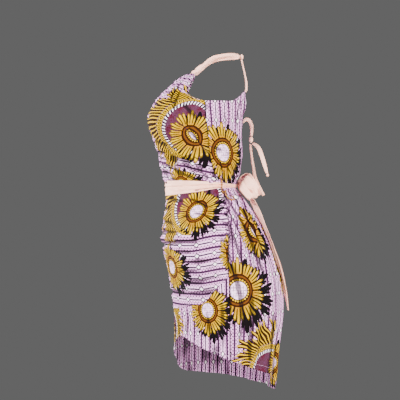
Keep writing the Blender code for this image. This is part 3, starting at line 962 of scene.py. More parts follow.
def print_material(panel, stripes_across, flowers, medallions=(), darts=()):
    """The wax print of one panel, with shade painted into its creases, put on its piece."""
    material, net, shader = new_material(panel.piece.name + "_print")
    cut = on_map(net, "cut")
    grain = on_map(net, "grain")
    lines = []
    for dart in darts:
        moved, line = take_dart(net, panel, dart)
        cut = net.vector("ADD", cut, moved)
        grain = net.vector("ADD", grain, moved)
        lines.append(line)
    x, y = net.split(grain)
    color = use_group(net, GROUND, net.join(y, x) if stripes_across else net.join(x, y))[0]
    if medallions:
        drawn = use_group(net, MEDALLION, nearest_motif(net, cut, panel, medallions))
        color = net.dye(color, drawn[0], drawn[1])
    place = nearest_motif(net, cut, panel, flowers)
    behind = net.vector("SUBTRACT", place, SHADOW_MOVE)
    behind = net.vector("MULTIPLY", behind, [1 / SHADOW_SIZE] * 3)
    color = net.dye(color, SHADOW, use_group(net, PETAL_SHADOW, behind)[0])
    drawn = use_group(net, SUNFLOWER, place)
    color = net.dye(color, drawn[0], drawn[1])
    for line in lines:
        color = net.dye(color, VIOLET, line * 0.8)
    # painted shade: the print darkens towards near black in the creases' hollows
    color = net.dye(color, SHADOW, painted_crease_shade(net, 0.0024) * 0.78)
    net.feed(shader.inputs["Base Color"], color)
    shader.inputs["Roughness"].default_value = 0.85
    shader.inputs["Specular IOR Level"].default_value = 0.08
    add_bump(net, shader, weave(net, cut), 0.25)
    panel.piece.data.materials.append(material)


print("print material ready")

# %% [markdown]
# ## Bodice front
# The bib hangs from the neck band and covers the bust in one piece. Its top is gathered into the
# band, a dart runs from the bust point to each side seam, and loose cloth above the sash falls in
# folds that slope down to the sides. Its stripes run across the body. The cloth is measured up
# from the waist and out from under the arm, because the dart takes in what the bust leaves over.

# %% Lengths along the cloth


def hem_height(angle):
    """The height of the hem at an angle, also when the angle has run past a half turn."""
    return read(HEM, "angle", "z", (angle + 180.0) % 360.0 - 180.0)


def arcs_along_rows(points):
    """How far each point lies from the first in its row, along the cloth."""
    steps = np.linalg.norm(np.diff(points, axis=1), axis=-1)
    return np.concatenate([np.zeros((len(points), 1)), np.cumsum(steps, axis=1)], axis=1)


def arcs_up_columns(points):
    """How far each point lies above the last in its column, along the cloth."""
    steps = np.linalg.norm(np.diff(points, axis=0), axis=-1)[::-1]
    return np.concatenate([np.zeros((1, points.shape[1])), np.cumsum(steps, axis=0)])[::-1]


def uneven(x, y, size, seed):
    """Soft swellings between about -1 and 1 that never quite repeat."""
    total = np.zeros_like(x + y)
    for k in range(5):
        turn = seed + 2.4 * k
        step = size * (0.7 + 0.22 * k)
        sway = np.sin(2 * pi * (x * sin(turn) - y * cos(turn)) / (1.9 * step) + k)
        total += np.sin(2 * pi * (x * cos(turn) + y * sin(turn)) / step + 1.7 * seed * k + 0.9 * sway)
    return total / 3.0


def by_way_of(along, share, top, middle, bottom):
    """Heights from top to bottom that pass middle at a share of the way."""
    return np.where(along < share, mix(top, middle, along / share),
                    mix(middle, bottom, (along - share) / (1.0 - share)))


print("hem below the left arm at z", round(float(hem_height(90.0)), 3))

# %% Bodice front
BIB_SHARE = 8 / 18
DART_BEARING = 78.0
HALF_BUST_CUT = 0.200


def bodice_front_place(across, along):
    """Bearings and heights on the bib, down to the underarm, and on the bodice below it."""
    z = by_way_of(along, BIB_SHARE, BIB_TOP_Z, UNDERARM_Z, WAIST_Z + GAP / 2)
    side = np.where(z > UNDERARM_Z, read(BIB_EDGE, "z", "angle", z), seam_angle(z)) - gap_angle(z)
    return mix(-side, side, across), z


def from_middle(arcs):
    """Lengths along each row, measured from its middle instead of its start."""
    return arcs - arcs[:, arcs.shape[1] // 2][:, None]


def bodice_front_cut(grid):
    """The flat bib and bodice. Past the bust, each row is cut to the same half width, and the
    stripes fall towards the sides."""
    arcs = from_middle(arcs_along_rows(grid.plain))
    turn = np.abs(grid.angle)
    for line, bearing in zip(arcs, turn):
        ahead = slice(len(line) // 2, None)
        at_side = np.interp(min(DART_BEARING, bearing.max()), bearing[ahead], line[ahead])
        line -= np.sign(line) * ease(bearing, 8.0, 55.0) * (at_side - HALF_BUST_CUT)
    return arcs, arcs_up_columns(grid.plain), 0.030 * (turn / 95.0) ** 2


BODICE_CREASES = [
    Crease(-4.0, -0.286, 46.0, -0.297, 0.0020, 0.0041, 0.0057),
    Crease(8.0, -0.303, 41.0, -0.313, -0.0015, 0.0036, 0.0053),
    Crease(2.0, -0.320, 66.0, -0.350, 0.0030, 0.0044, 0.0064),
    Crease(12.0, -0.343, 47.0, -0.356, 0.0010, 0.0032, 0.0051),
    Crease(45.0, -0.301, 99.0, -0.350, 0.0050, 0.0051, 0.0067),
    Crease(58.0, -0.322, 103.0, -0.371, 0.0040, 0.0046, 0.0057),
    Crease(31.0, -0.335, 84.0, -0.376, 0.0035, 0.0041, 0.0057),
    Crease(71.0, -0.298, 99.0, -0.324, -0.0020, 0.0034, 0.0048),
    Crease(71.0, -0.198, 97.0, -0.299, 0.0000, 0.0034, 0.0034),
    Crease(22.0, -0.254, 50.0, -0.270, -0.0020, 0.0024, 0.0069),
    Crease(8.0, -0.085, 10.0, -0.165, 0.0010, 0.0031, 0.0046),
    Crease(19.0, -0.078, 25.0, -0.150, -0.0015, 0.0034, 0.0051),
    Crease(30.0, -0.072, 40.0, -0.128, 0.0010, 0.0037, 0.0046),
    Crease(41.0, -0.080, 52.0, -0.146, -0.0020, 0.0037, 0.0053),
    Crease(52.0, -0.098, 60.0, -0.170, 0.0020, 0.0029, 0.0053),
    Crease(66.0, -0.150, 90.0, -0.205, 0.0030, 0.0024, 0.0063),
]
BODICE_CREASES += mirrored(BODICE_CREASES, 0.006)


def bodice_front_relief(angle, z):
    """Gathers at the top, the creases, loose cloth over the sash, and a dip at each seam."""
    relief = 1.4 * crease_relief(angle, z, BODICE_CREASES)
    phase = angle * 24.0 + 50.0 * sine(angle * 5.0) + 900.0 * z
    relief += 0.0016 * ease(z, -0.118, -0.064) * cosine(phase)
    relief += 0.0030 * ease(z, -0.262, -0.310) * uneven(angle * DEGREE, z * 1.6, 0.060, 0.35)
    relief += 0.0009 * uneven(angle * DEGREE, z, 0.036, 1.9)
    relief += 0.0011 * ease(z, -0.352, -0.386) * gathers(angle, 21.0, 70.0, 3.0)
    relief -= 0.0020 * ease(from_side_seam(angle, z), 0.007, 0.0) * (z < UNDERARM_Z)
    return relief * clear_of_waist(z, 1)


bodice_front = cloth_panel("wax_bodice_front", 224, 112, bodice_front_place, bodice_front_cut,
                           bodice_front_relief)
print("bib top to waist", round(float(np.ptp(bodice_front.v)), 3), "m")

# %% [markdown]
# ## Bodice backs
# Two back panels meet down the centre back and part above it in a slit that the narrow ties hold.
# They are cut with the stripes running down. Their free edges are narrow rolled hems, so the cloth
# turns in a little there.

# %% Bodice backs


def back_place(hand):
    """The place function of the back on one side, 1 for the left and -1 for the right."""
    def place(across, along):
        z = mix(read(BACK_TOP, "share", "z", across), WAIST_Z + GAP / 2, along)
        start = seam_angle(np.minimum(z, UNDERARM_Z)) + gap_angle(z)
        end = read(SLIT_SIDE, "z", "angle", z)
        return hand * mix(start, end, across), z
    return place


def straight_cut(start):
    """The cut of a panel as wide all the way down as at its widest, measured from a share of it."""
    def cut(grid):
        width = arcs_along_rows(grid.plain)[:, -1].max()
        return (grid.across - start) * width, grid.z.copy(), np.zeros_like(grid.z)
    return cut


BACK_CREASES = [
    Crease(112.0, -0.300, 128.0, -0.378, 0.0030, 0.0035, 0.0051),
    Crease(131.0, -0.316, 139.0, -0.384, -0.0020, 0.0038, 0.0046),
    Crease(150.0, -0.286, 153.0, -0.382, 0.0020, 0.0035, 0.0053),
    Crease(164.0, -0.330, 166.0, -0.386, 0.0010, 0.0032, 0.0044),
    Crease(104.0, -0.276, 134.0, -0.300, 0.0040, 0.0026, 0.0057),
    Crease(122.0, -0.160, 128.0, -0.230, 0.0020, 0.0019, 0.0060),
    Crease(146.0, -0.140, 152.0, -0.228, -0.0020, 0.0029, 0.0057),
    Crease(158.0, -0.128, 168.0, -0.200, 0.0015, 0.0026, 0.0046),
]


def back_relief(angle, z):
    """The same creases on both backs, with other undulations and a dip at the side seam."""
    turn = np.abs(angle)
    hand = np.where(angle > 0, 1.0, -1.0)
    relief = crease_relief(turn, z + 0.004 * (hand < 0), BACK_CREASES)
    relief += 0.0010 * uneven(angle * DEGREE, z, 0.048, 0.8)
    relief += 0.0013 * ease(z, -0.325, -0.380) * gathers(turn, 24.0, 60.0, 4.0, 40.0 * hand)
    relief -= 0.0020 * ease(from_side_seam(angle, z), 0.007, 0.0)
    relief -= 0.0008 * ease((CENTRE_BACK - turn) * DEGREE, 0.005, 0.0) * (z < SLIT_END_Z)
    return relief * clear_of_waist(z, 1)


bodice_back_left = cloth_panel("wax_bodice_back_left", 72, 88, back_place(1.0),
                               straight_cut(0.0), back_relief)
bodice_back_right = cloth_panel("wax_bodice_back_right", 72, 88, back_place(-1.0),
                                straight_cut(0.0), back_relief)
print("centre back slit ends at z", SLIT_END_Z)

# %% [markdown]
# ## Skirt front
# The upper skirt is a fitted panel with its stripes across the body. It pulls into drag lines over
# the belly and puckers where it is eased onto the side seams. A curved seam joins a lower piece to
# it, cut with the stripes down, whose edge is the short front hem.

# %% Skirt front and lower front
SEAM_AT_JOIN = float(seam_angle(-0.7))
HEM_SEAM_Z = -0.9


def join_height(share):
    """The height of the curved join, for a share of the way from the middle to a side seam."""
    return read(FRONT_JOIN, "angle", "z", np.abs(share) * SEAM_AT_JOIN)


def skirt_front_place(across, along):
    """Bearings and heights from the waist down to the curved join."""
    share = mix(-1.0, 1.0, across)
    z = mix(WAIST_Z - GAP / 2, join_height(share) + GAP / 2, along)
    return share * (seam_angle(z) - gap_angle(z)), z


def skirt_front_cut(grid):
    """The flat skirt front, whose stripes rise towards the side seams."""
    lift = 0.014 * ease(np.abs(grid.angle), 60.0, 97.0)
    return from_middle(arcs_along_rows(grid.plain)), grid.z.copy(), -lift


def lower_place(across, along):
    """Bearings and heights from the curved join down to the front hem."""
    share = mix(-1.0, 1.0, across)
    edge = share * float(seam_angle(HEM_SEAM_Z) + gap_angle(HEM_SEAM_Z))
    z = mix(join_height(share) - GAP / 2, hem_height(edge), along)
    return share * (seam_angle(z) - gap_angle(z)), z


SKIRT_CREASES = [
    Crease(-14.0, -0.530, 52.0, -0.527, 0.0030, 0.0038, 0.0055),
    Crease(-22.0, -0.560, 74.0, -0.546, -0.0060, 0.0048, 0.0064),
    Crease(36.0, -0.586, 62.0, -0.583, 0.0030, 0.0025, 0.0055),
    Crease(40.0, -0.614, 92.0, -0.600, -0.0030, 0.0033, 0.0069),
    Crease(36.0, -0.643, 66.0, -0.636, 0.0020, 0.0027, 0.0064),
    Crease(34.0, -0.674, 90.0, -0.646, -0.0050, 0.0035, 0.0069),
    Crease(-12.0, -0.704, 44.0, -0.702, 0.0020, 0.0032, 0.0060),
    Crease(40.0, -0.705, 84.0, -0.686, -0.0030, 0.0029, 0.0057),
    Crease(18.0, -0.430, 60.0, -0.437, 0.0030, 0.0029, 0.0053),
    Crease(-6.0, -0.452, 30.0, -0.456, -0.0020, 0.0029, 0.0051),
    Crease(2.0, -0.496, 40.0, -0.500, 0.0020, 0.0035, 0.0053),
    Crease(64.0, -0.426, 92.0, -0.452, 0.0030, 0.0035, 0.0048),
    Crease(70.0, -0.470, 95.0, -0.482, 0.0020, 0.0032, 0.0046),
    Crease(66.0, -0.512, 95.0, -0.505, -0.0020, 0.0035, 0.0048),
]
SKIRT_CREASES += mirrored(SKIRT_CREASES, 0.008)


def skirt_front_relief(angle, z):
    """Drag lines, puckers beside the side seams, and a dip at the seams."""
    relief = 1.4 * crease_relief(angle, z, SKIRT_CREASES)
    relief += 0.0012 * uneven(angle * DEGREE, z * 1.8, 0.070, 2.2)
    beside = from_side_seam(angle, z)
    pucker = ease(beside, 0.034, 0.004) * ease(z, -0.415, -0.440) * ease(z, -0.625, -0.560)
    wave = z / 0.0118 + 0.6 * np.sin(z * 110.0) + angle * 0.05
    relief += 0.0042 * pucker * np.sin(2 * pi * wave)
    relief += 0.0009 * ease(z, -0.440, -0.402) * gathers(angle, 23.0, 60.0, 4.0)
    relief -= 0.0027 * ease(beside, 0.010, 0.0)
    return relief * clear_of_waist(z, -1)


LOWER_CREASES = [
    Crease(20.0, -0.762, 24.0, -0.846, 0.0020, 0.0036, 0.0066),
    Crease(44.0, -0.760, 40.0, -0.850, -0.0030, 0.0030, 0.0077),
    Crease(66.0, -0.750, 70.0, -0.862, 0.0030, 0.0039, 0.0077),
    Crease(84.0, -0.720, 87.0, -0.880, -0.0030, 0.0036, 0.0072),
    Crease(4.0, -0.775, 2.0, -0.870, 0.0020, 0.0033, 0.0066),
]
LOWER_CREASES += mirrored(LOWER_CREASES, 0.006)


def lower_relief(angle, z):
    """Soft folds that run down to the hem."""
    relief = crease_relief(angle, z, LOWER_CREASES)
    relief += 0.0026 * ease(z, -0.720, -0.900) * uneven(angle * DEGREE * 1.6, z * 0.5, 0.090, 1.3)
    return relief - 0.0010 * ease(from_side_seam(angle, z), 0.006, 0.0)


skirt_front = cloth_panel("wax_skirt_front", 200, 128, skirt_front_place, skirt_front_cut,
                          skirt_front_relief)
skirt_lower = cloth_panel("wax_skirt_front_lower", 200, 64, lower_place, straight_cut(0.5),
                          lower_relief)
print("front join from", round(float(join_height(0.0)), 3), "to", round(float(join_height(1.0)), 3))

# %% [markdown]
# ## Skirt back
# The back of the skirt is a wide panel gathered under the sash. The gathers open into flutes and
# the hem falls lower behind than in front. Each gather has its own width and depth. The stripes
# run down, so they crowd together at the waist and spread at the hem.

# %% Skirt back
JOIN_SHARE = 11 / 17


def skirt_back_place(across, along):
    """Bearings and heights from the waist to the hem, from the left seam round to the right."""
    share = mix(1.0, -1.0, across)

    def bearing(z):
        """The bearing of each column at a height."""
        return 180.0 - share * (180.0 - seam_angle(z) - gap_angle(z))

    low = HEM_SEAM_Z + np.zeros_like(share)
    at_seam = float(join_height(1.0))
    hem = hem_height(bearing(low))
    z = by_way_of(along, JOIN_SHARE, WAIST_Z - GAP / 2, at_seam, hem)
    return bearing(z), z


FOLDS = [
    Crease(108.0, -0.410, 112.0, -0.640, 0.0060, 0.0046, 0.0066),
    Crease(118.0, -0.400, 122.0, -0.560, -0.0030, 0.0041, 0.0057),
    Crease(127.0, -0.405, 136.0, -0.700, 0.0060, 0.0049, 0.0070),
    Crease(139.0, -0.398, 146.0, -0.610, 0.0020, 0.0043, 0.0059),
    Crease(150.0, -0.402, 160.0, -0.760, 0.0070, 0.0054, 0.0075),
    Crease(163.0, -0.400, 166.0, -0.580, -0.0030, 0.0041, 0.0062),
    Crease(172.0, -0.404, 176.0, -0.690, 0.0030, 0.0046, 0.0066),
    Crease(99.0, -0.560, 104.0, -0.860, 0.0050, 0.0038, 0.0077),
    Crease(114.0, -0.700, 117.0, -0.930, -0.0040, 0.0041, 0.0088),
    Crease(143.0, -0.760, 145.0, -0.960, 0.0050, 0.0046, 0.0094),
    Crease(168.0, -0.800, 171.0, -0.990, -0.0040, 0.0046, 0.0088),
    Crease(187.0, -0.400, 190.0, -0.640, 0.0040, 0.0046, 0.0066),
    Crease(198.0, -0.404, 205.0, -0.720, -0.0050, 0.0049, 0.0070),
    Crease(211.0, -0.400, 214.0, -0.590, 0.0030, 0.0041, 0.0059),
    Crease(222.0, -0.402, 232.0, -0.680, 0.0050, 0.0049, 0.0066),
    Crease(236.0, -0.400, 240.0, -0.560, -0.0030, 0.0041, 0.0057),
    Crease(249.0, -0.410, 252.0, -0.660, 0.0050, 0.0043, 0.0066),
    Crease(194.0, -0.780, 198.0, -0.980, 0.0040, 0.0046, 0.0088),
    Crease(226.0, -0.740, 230.0, -0.950, -0.0050, 0.0043, 0.0094),
    Crease(256.0, -0.600, 259.0, -0.880, 0.0040, 0.0038, 0.0077),
]


def skirt_back_relief(angle, z):
    """Gathers under the sash, long folds, and a dip at each side seam."""
    relief = 1.2 * crease_relief(angle, z, FOLDS)
    phase = angle * 30.0 + 75.0 * sine(angle * 7.0) + 50.0 * sine(angle * 3.0)
    relief += 0.0020 * ease(z, -0.520, -0.410) * cosine(phase)
    relief += 0.0016 * uneven(angle * DEGREE * 2.2, z * 0.45, 0.080, 0.6)
    relief -= 0.0027 * ease(from_side_seam(angle, z), 0.009, 0.0)
    return relief * clear_of_waist(z, -1)


skirt_back = cloth_panel("wax_skirt_back", 216, 184, skirt_back_place, straight_cut(0.0),
                         skirt_back_relief)
print("back hem lowest at z", round(float(skirt_back.z.min()), 3))

# %% [markdown]
# ## Where the figures fall
# The motifs are rows with a bearing, a height and a radius. Flowers cut by a seam have their middle
# past the panel's edge. The side that the camera doesn't see has figures of the same kinds, turned
# over and moved, because a cutter doesn't match this print at the seams.

# %% Print on the six panels
print_material(bodice_front, True, [
    Motif(80.8, -0.246, 0.075, 1.0),
    Motif(54.4, -0.388, 0.056, 1.0),
    Motif(-78.0, -0.262, 0.068, -1.0),
    Motif(-40.0, -0.372, 0.052, -1.0),
    Motif(-50.0, -0.150, 0.050, -1.0),
], [
    Motif(76.5, -0.224, 0.080, 1.0),
    Motif(-75.0, -0.250, 0.084, -1.0),
], [
    Dart(68.5, -0.209, -51.0, 0.38, 1.0),
    Dart(-66.0, -0.225, -51.0, 0.38, -1.0),
])
print_material(bodice_back_left, False, [Motif(121.9, -0.293, 0.086, 1.0)])
print_material(bodice_back_right, False, [
    Motif(-128.0, -0.315, 0.080, -1.0),
    Motif(-100.0, -0.190, 0.058, -1.0),
])
print_material(skirt_front, True, [
    Motif(74.7, -0.466, 0.064, 1.0),
    Motif(25.5, -0.630, 0.066, 1.0),
    Motif(108.6, -0.586, 0.055, 1.0),
    Motif(-70.0, -0.480, 0.064, -1.0),
    Motif(-36.0, -0.650, 0.066, -1.0),
    Motif(-92.0, -0.610, 0.060, -1.0),
], [
    Motif(77.0, -0.445, 0.075, 1.0),
    Motif(-67.0, -0.470, 0.058, -1.0),
])
print_material(skirt_lower, False, [
    Motif(67.9, -0.752, 0.073, 1.0),
    Motif(0.0, -0.822, 0.040, 1.0),
    Motif(-60.0, -0.772, 0.070, -1.0),
], [
    Motif(6.0, -0.812, 0.045, -1.0),
])
print_material(skirt_back, False, [
    Motif(102.2, -0.694, 0.093, 1.0),
    Motif(140.0, -0.521, 0.075, 1.0),
    Motif(165.0, -0.918, 0.072, 1.0),
    Motif(217.0, -0.640, 0.080, 1.0),
    Motif(236.0, -0.500, 0.072, -1.0),
    Motif(246.0, -0.800, 0.085, -1.0),
], [
    Motif(143.0, -0.945, 0.076, 1.0),
    Motif(215.0, -0.628, 0.078, 1.0),
], [
    Dart(137.5, -0.610, 90.0, 0.22, 1.0),
    Dart(236.0, -0.580, 90.0, 0.16, 1.0),
])
print("six printed panels")

# %% [markdown]
# ## Pink cloth and thread
# The neck band, sash and ties are one plain pale pink cotton, a little glossier than the print. The
# dye is slightly uneven and the weave shows less, and shade is painted into the creases as a deeper
# pink. The thread of the carriers and seams is cotton too.

# %% Pink cloth and thread materials
PINK = (1.0, 0.57, 0.44, 1.0)
DEEP_PINK = (0.88, 0.35, 0.26, 1.0)
# painted shade for the pink cloth's creases
PINK_SHADE = (0.42, 0.12, 0.085, 1.0)


def pink_material(name, knotted):
    """Pale pink cotton, read on a strip's cut map, or on its own coordinates for a knot."""
    material, net, shader = new_material(name)
    if knotted:
        place = net.node("ShaderNodeTexCoord").outputs["Object"]
    else:
        place = on_map(net, "cut")
    patches = net.step(net.noise(place, 38.0, 4.0), 0.35, 0.75)
    color = net.dye(PINK, DEEP_PINK, patches * 0.45)
    if knotted:
        add_bump(net, shader, net.noise(place, 900.0, 3.0), 0.2)
    else:
        # painted shade: a deeper pink in the creases' hollows
        color = net.dye(color, PINK_SHADE, painted_crease_shade(net, 0.0019) * 0.75)
        add_bump(net, shader, weave(net, place), 0.18)
    net.feed(shader.inputs["Base Color"], color)
    shader.inputs["Roughness"].default_value = 0.62
    shader.inputs["Specular IOR Level"].default_value = 0.30
    shader.inputs["Sheen Weight"].default_value = 0.12
    shader.inputs["Sheen Roughness"].default_value = 0.4
    return material


def thread_material(name, low, high):
    """Twisted cotton thread in two shades, patched on its own coordinates."""
    material, net, shader = new_material(name)
    place = net.node("ShaderNodeTexCoord").outputs["Object"]
    shades = net.step(net.noise(place, 260.0, 2.0), 0.42, 0.58)
    net.feed(shader.inputs["Base Color"], net.dye(low, high, shades))
    shader.inputs["Roughness"].default_value = 0.65
    add_bump(net, shader, net.noise(place, 1800.0, 2.0), 0.3, 0.0003)
    return material


PINK_CLOTH = pink_material("pink_cloth", knotted=False)
PINK_KNOT = pink_material("pink_knot", knotted=True)
GOLD_THREAD = thread_material("gold_thread", (0.42, 0.17, 0.006, 1.0), (0.060, 0.014, 0.002, 1.0))
LILAC_THREAD = thread_material("lilac_thread", (0.50, 0.26, 0.50, 1.0), (0.80, 0.55, 0.80, 1.0))
print("pink cloth and two threads")

# %% [markdown]
# ## Neck band and sash
# Both are bands that close round the body. The neck band is a folded strip that narrows to a cord
# behind the nape. The sash is a wide strip, flat in front, that the carriers and the knot squeeze
# into lengthwise pleats. A pleat is a row: its place across the band, its height and its width.

# %% Closed bands
BandRow = namedtuple("BandRow", "angle x0 y0 z0 x1 y1 z1")
NECK_BAND = [
    BandRow(0.0, 0.000, -0.058, -0.026, 0.000, -0.100, -0.056),
    BandRow(22.0, 0.024, -0.054, -0.025, 0.030, -0.097, -0.056),
    BandRow(44.0, 0.042, -0.043, -0.019, 0.055, -0.079, -0.054),
    BandRow(60.0, 0.052, -0.031, -0.011, 0.061, -0.056, -0.033),
    BandRow(75.0, 0.058, -0.016, -0.003, 0.064, -0.030, -0.016),
    BandRow(95.0, 0.058, 0.006, 0.002, 0.062, 0.002, -0.008),
    BandRow(120.0, 0.049, 0.029, 0.004, 0.052, 0.029, -0.007),
    BandRow(150.0, 0.028, 0.042, 0.004, 0.029, 0.044, -0.007),
    BandRow(180.0, 0.000, 0.047, 0.003, 0.000, 0.049, -0.008),
]
NECK_MIDDLE = np.array([0.0, -0.01, -0.06])
NECK_WIDTH = 0.05
SASH_WIDTH = 0.046
SashRow = namedtuple("SashRow", "angle top bottom")
SASH = [
    SashRow(0.0, -0.374, -0.420),
    SashRow(40.0, -0.374, -0.417),
    SashRow(80.0, -0.376, -0.409),
    SashRow(110.0, -0.379, -0.400),
    SashRow(140.0, -0.383, -0.396),
    SashRow(180.0, -0.385, -0.395),
]
Pleat = namedtuple("Pleat", "place drift height width start end")


def pleat_relief(across, along, pleats):
    """The height of lengthwise pleats for shares across a strip and along it."""
    relief = np.zeros_like(across)
    for p in pleats:
        off = (across - p.place - p.drift * along) / p.width
        fade = ease(along, p.start, p.start + 0.08) * ease(along, p.end, p.end - 0.08)
        relief += p.height * fade * (np.exp(-off**2) - 0.7 * np.exp(-((off - 1.5) ** 2)))
    return relief


def strip(name, points, facing, folds, u, v, offset, closed=False):
    """A pink strip through a grid of points, open or closed round the body."""
    rows, columns = points.shape[0] - 1, points.shape[1] - 1
    build = bmesh.new()
    column, row = grid_shares(build, columns, rows)
    point_outwards(build, points, facing, column, row)
    maps = (u, v, np.zeros_like(u))
    piece = finish_sheet(name, build, column, row, points, folds, maps, PINK_CLOTH, RIBBON, offset)
    if closed:
        weld = bmesh.new()
        weld.from_mesh(piece.data)
        bmesh.ops.remove_doubles(weld, verts=weld.verts, dist=0.00001)
        weld.to_mesh(piece.data)
        weld.free()
    return piece


print("neck band rows", len(NECK_BAND), "sash rows", len(SASH))

# %% Neck band and sash


def neck_band():
    """The pink band round the neck, and how long it is."""
    around, across = np.meshgrid(np.linspace(-180, 180, 321), np.linspace(0, 1, 17))
    turn = np.abs(around)
    hand = np.sign(around)
    high, low = (np.stack([read(NECK_BAND, "angle", axis + end, turn) for axis in "xyz"], axis=-1)
                 for end in "01")
    high[..., 0] *= hand
    low[..., 0] *= hand
    points = mix(high, low, across[..., None])
    travel = np.gradient(points, axis=1)
    down = low - high
    facing = np.cross(down, travel)
    facing /= np.linalg.norm(facing, axis=-1, keepdims=True)
    facing *= np.sign(np.sum(facing * (points - NECK_MIDDLE), axis=-1, keepdims=True))
    width = np.linalg.norm(down, axis=-1)
    share = (around + 180.0) / 360.0
    folds = pleat_relief(across, share, [
        Pleat(0.22, 0.05, 0.0026, 0.10, 0.10, 0.62),
        Pleat(0.52, -0.06, 0.0032, 0.11, 0.24, 0.80),
        Pleat(0.80, -0.05, 0.0026, 0.09, 0.38, 0.93),
        Pleat(0.40, 0.08, 0.0022, 0.08, 0.52, 0.97),
    ])
    narrow = ease(width, 0.020, 0.011)
    folds = folds * (1.0 - 0.5 * narrow) + narrow * 0.0012 * np.cos((across - 0.5) * 2.6 * pi)
    folds += 0.0014 * np.sin(pi * across) ** 0.8
    points = points + facing * folds[..., None]
    arcs = arcs_along_rows(points)
    piece = strip("pink_neck_band", points, facing, folds, arcs, across * NECK_WIDTH, 1.0, True)
    return piece, float(arcs[len(arcs) // 2, -1])


def sash():
    """The pink sash round the waist, and how long it is."""
    around, across = np.meshgrid(np.linspace(-180, 180, 401), np.linspace(0, 1, 21))
    turn = np.abs(around)
    z = mix(read(SASH, "angle", "top", turn), read(SASH, "angle", "bottom", turn), across)
    plain = form_point(around, z)
    facing = form_normal(around, z)
    share = (around + 180.0) / 360.0
    folds = pleat_relief(across, share, [
        Pleat(0.30, 0.00, 0.0036, 0.07, 0.00, 0.34),
        Pleat(0.62, -0.10, 0.0032, 0.08, 0.05, 0.46),
        Pleat(0.20, 0.22, 0.0028, 0.06, 0.30, 0.60),
        Pleat(0.40, -0.08, 0.0030, 0.05, 0.53, 0.84),
        Pleat(0.86, -0.26, 0.0034, 0.06, 0.60, 0.96),
        Pleat(0.05, 0.26, 0.0034, 0.07, 0.62, 1.00),
        Pleat(1.05, -0.42, 0.0036, 0.06, 0.66, 1.00),
        Pleat(0.30, 0.24, 0.0030, 0.05, 0.70, 1.00),
    ])
    gathered = ease(turn, 92.0, 150.0)
    folds += gathered * 0.0014 * np.cos(across * 5.0 * pi + 0.03 * around)
    folds += 0.0006 * uneven(around * 0.002, z, 0.030, 0.9)
    folds += 0.0008 * np.sin(pi * across)
    stand = CLOTH + SASH_STAND + RIBBON
    points = plain + facing * (stand + folds - 0.0006)[..., None]
    arcs = arcs_along_rows(points)
    piece = strip("pink_sash", points, facing, folds, arcs, across * SASH_WIDTH, -1.0, True)
    return piece, float(arcs[len(arcs) // 2, -1])


neck_piece, neck_length = neck_band()
sash_piece, sash_length = sash()
print("neck band", round(neck_length, 3), "m round, sash", round(sash_length, 3), "m round")

# %% [markdown]
# ## Bow, ties and straps
# Each free strip has a route of rows: a point, the strip's width there, which way its
# width points and how it tilts. The bow's loops puff out from the knot and its tails hang down the
# skirt. Narrow ties close the slit, and straps run from the back panels up to the nape.

# %% Free strips
StripRow = namedtuple("StripRow", "k x y z width turn tilt")
FreeStrip = namedtuple("FreeStrip", "node rows width pleats ruffle knot")
STRIP_STEPS = 16
STRIP_COLUMNS = 13


def route(*rows):
    """The numbered rows of a strip's route."""
    return [StripRow(k, *row) for k, row in enumerate(rows)]


def other_side(rows):
    """The same route on the other side of the body."""
    return [row._replace(x=-row.x, turn=180.0 - row.turn) for row in rows]


def free_strip(spec):
    """A strip along its route, with pleats and a wrinkled middle, and how long it is."""
    last = len(spec.rows) - 1
    k, share = np.meshgrid(np.linspace(0, last, STRIP_STEPS * last + 1),
                           np.linspace(-0.5, 0.5, STRIP_COLUMNS), indexing="ij")
    x, y, z, width, turn, tilt = (read(spec.rows, "k", name, k) for name in StripRow._fields[1:])
    centre = np.stack([x, y, z], axis=-1)
    travel = np.gradient(centre, axis=0)
    travel /= np.maximum(np.linalg.norm(travel, axis=-1, keepdims=True), 1e-9)
    way = np.stack([cosine(turn) * cosine(tilt), sine(turn) * cosine(tilt), sine(tilt)], axis=-1)
    facing = np.cross(travel, way)
    facing /= np.linalg.norm(facing, axis=-1, keepdims=True)
    side = np.cross(facing, travel)
    along = k / last
    folds = pleat_relief(share + 0.5, along, spec.pleats)
    folds += spec.ruffle * uneven(share * 0.04, along * 0.12, 0.030, 1.1)
    folds += 0.10 * (spec.width - width) * np.cos(share * 3.0 * pi)
    points = centre + side * (width * share)[..., None] + facing * folds[..., None]
    lengths = np.linalg.norm(np.diff(points[:, STRIP_COLUMNS // 2], axis=0), axis=-1)
    down = np.concatenate([[0.0], np.cumsum(lengths)])[:, None] + np.zeros_like(share)
    piece = strip("pink_" + spec.node, points, facing, folds, share * spec.width, down, 0.0)
    return piece, float(lengths.sum())


print("a strip has", STRIP_STEPS, "steps from one row of its route to the next")

# %% Routes of the strips
LOOP_PLEATS = [
    Pleat(0.28, 0.10, 0.0034, 0.09, 0.00, 0.46),
    Pleat(0.55, -0.04, 0.0030, 0.08, 0.02, 0.38),
    Pleat(0.76, -0.10, 0.0032, 0.09, 0.04, 0.52),
    Pleat(0.34, 0.02, 0.0032, 0.09, 0.56, 1.00),
    Pleat(0.62, 0.04, 0.0034, 0.10, 0.50, 1.00),
]
TAIL_PLEATS = [
    Pleat(0.30, 0.25, 0.0030, 0.12, 0.00, 0.72),
    Pleat(0.70, -0.30, 0.0026, 0.12, 0.05, 0.95),
    Pleat(0.45, 0.10, 0.0022, 0.10, 0.50, 1.00),
]
TIE_PLEATS = [Pleat(0.45, 0.10, 0.0008, 0.16, 0.00, 1.00)]

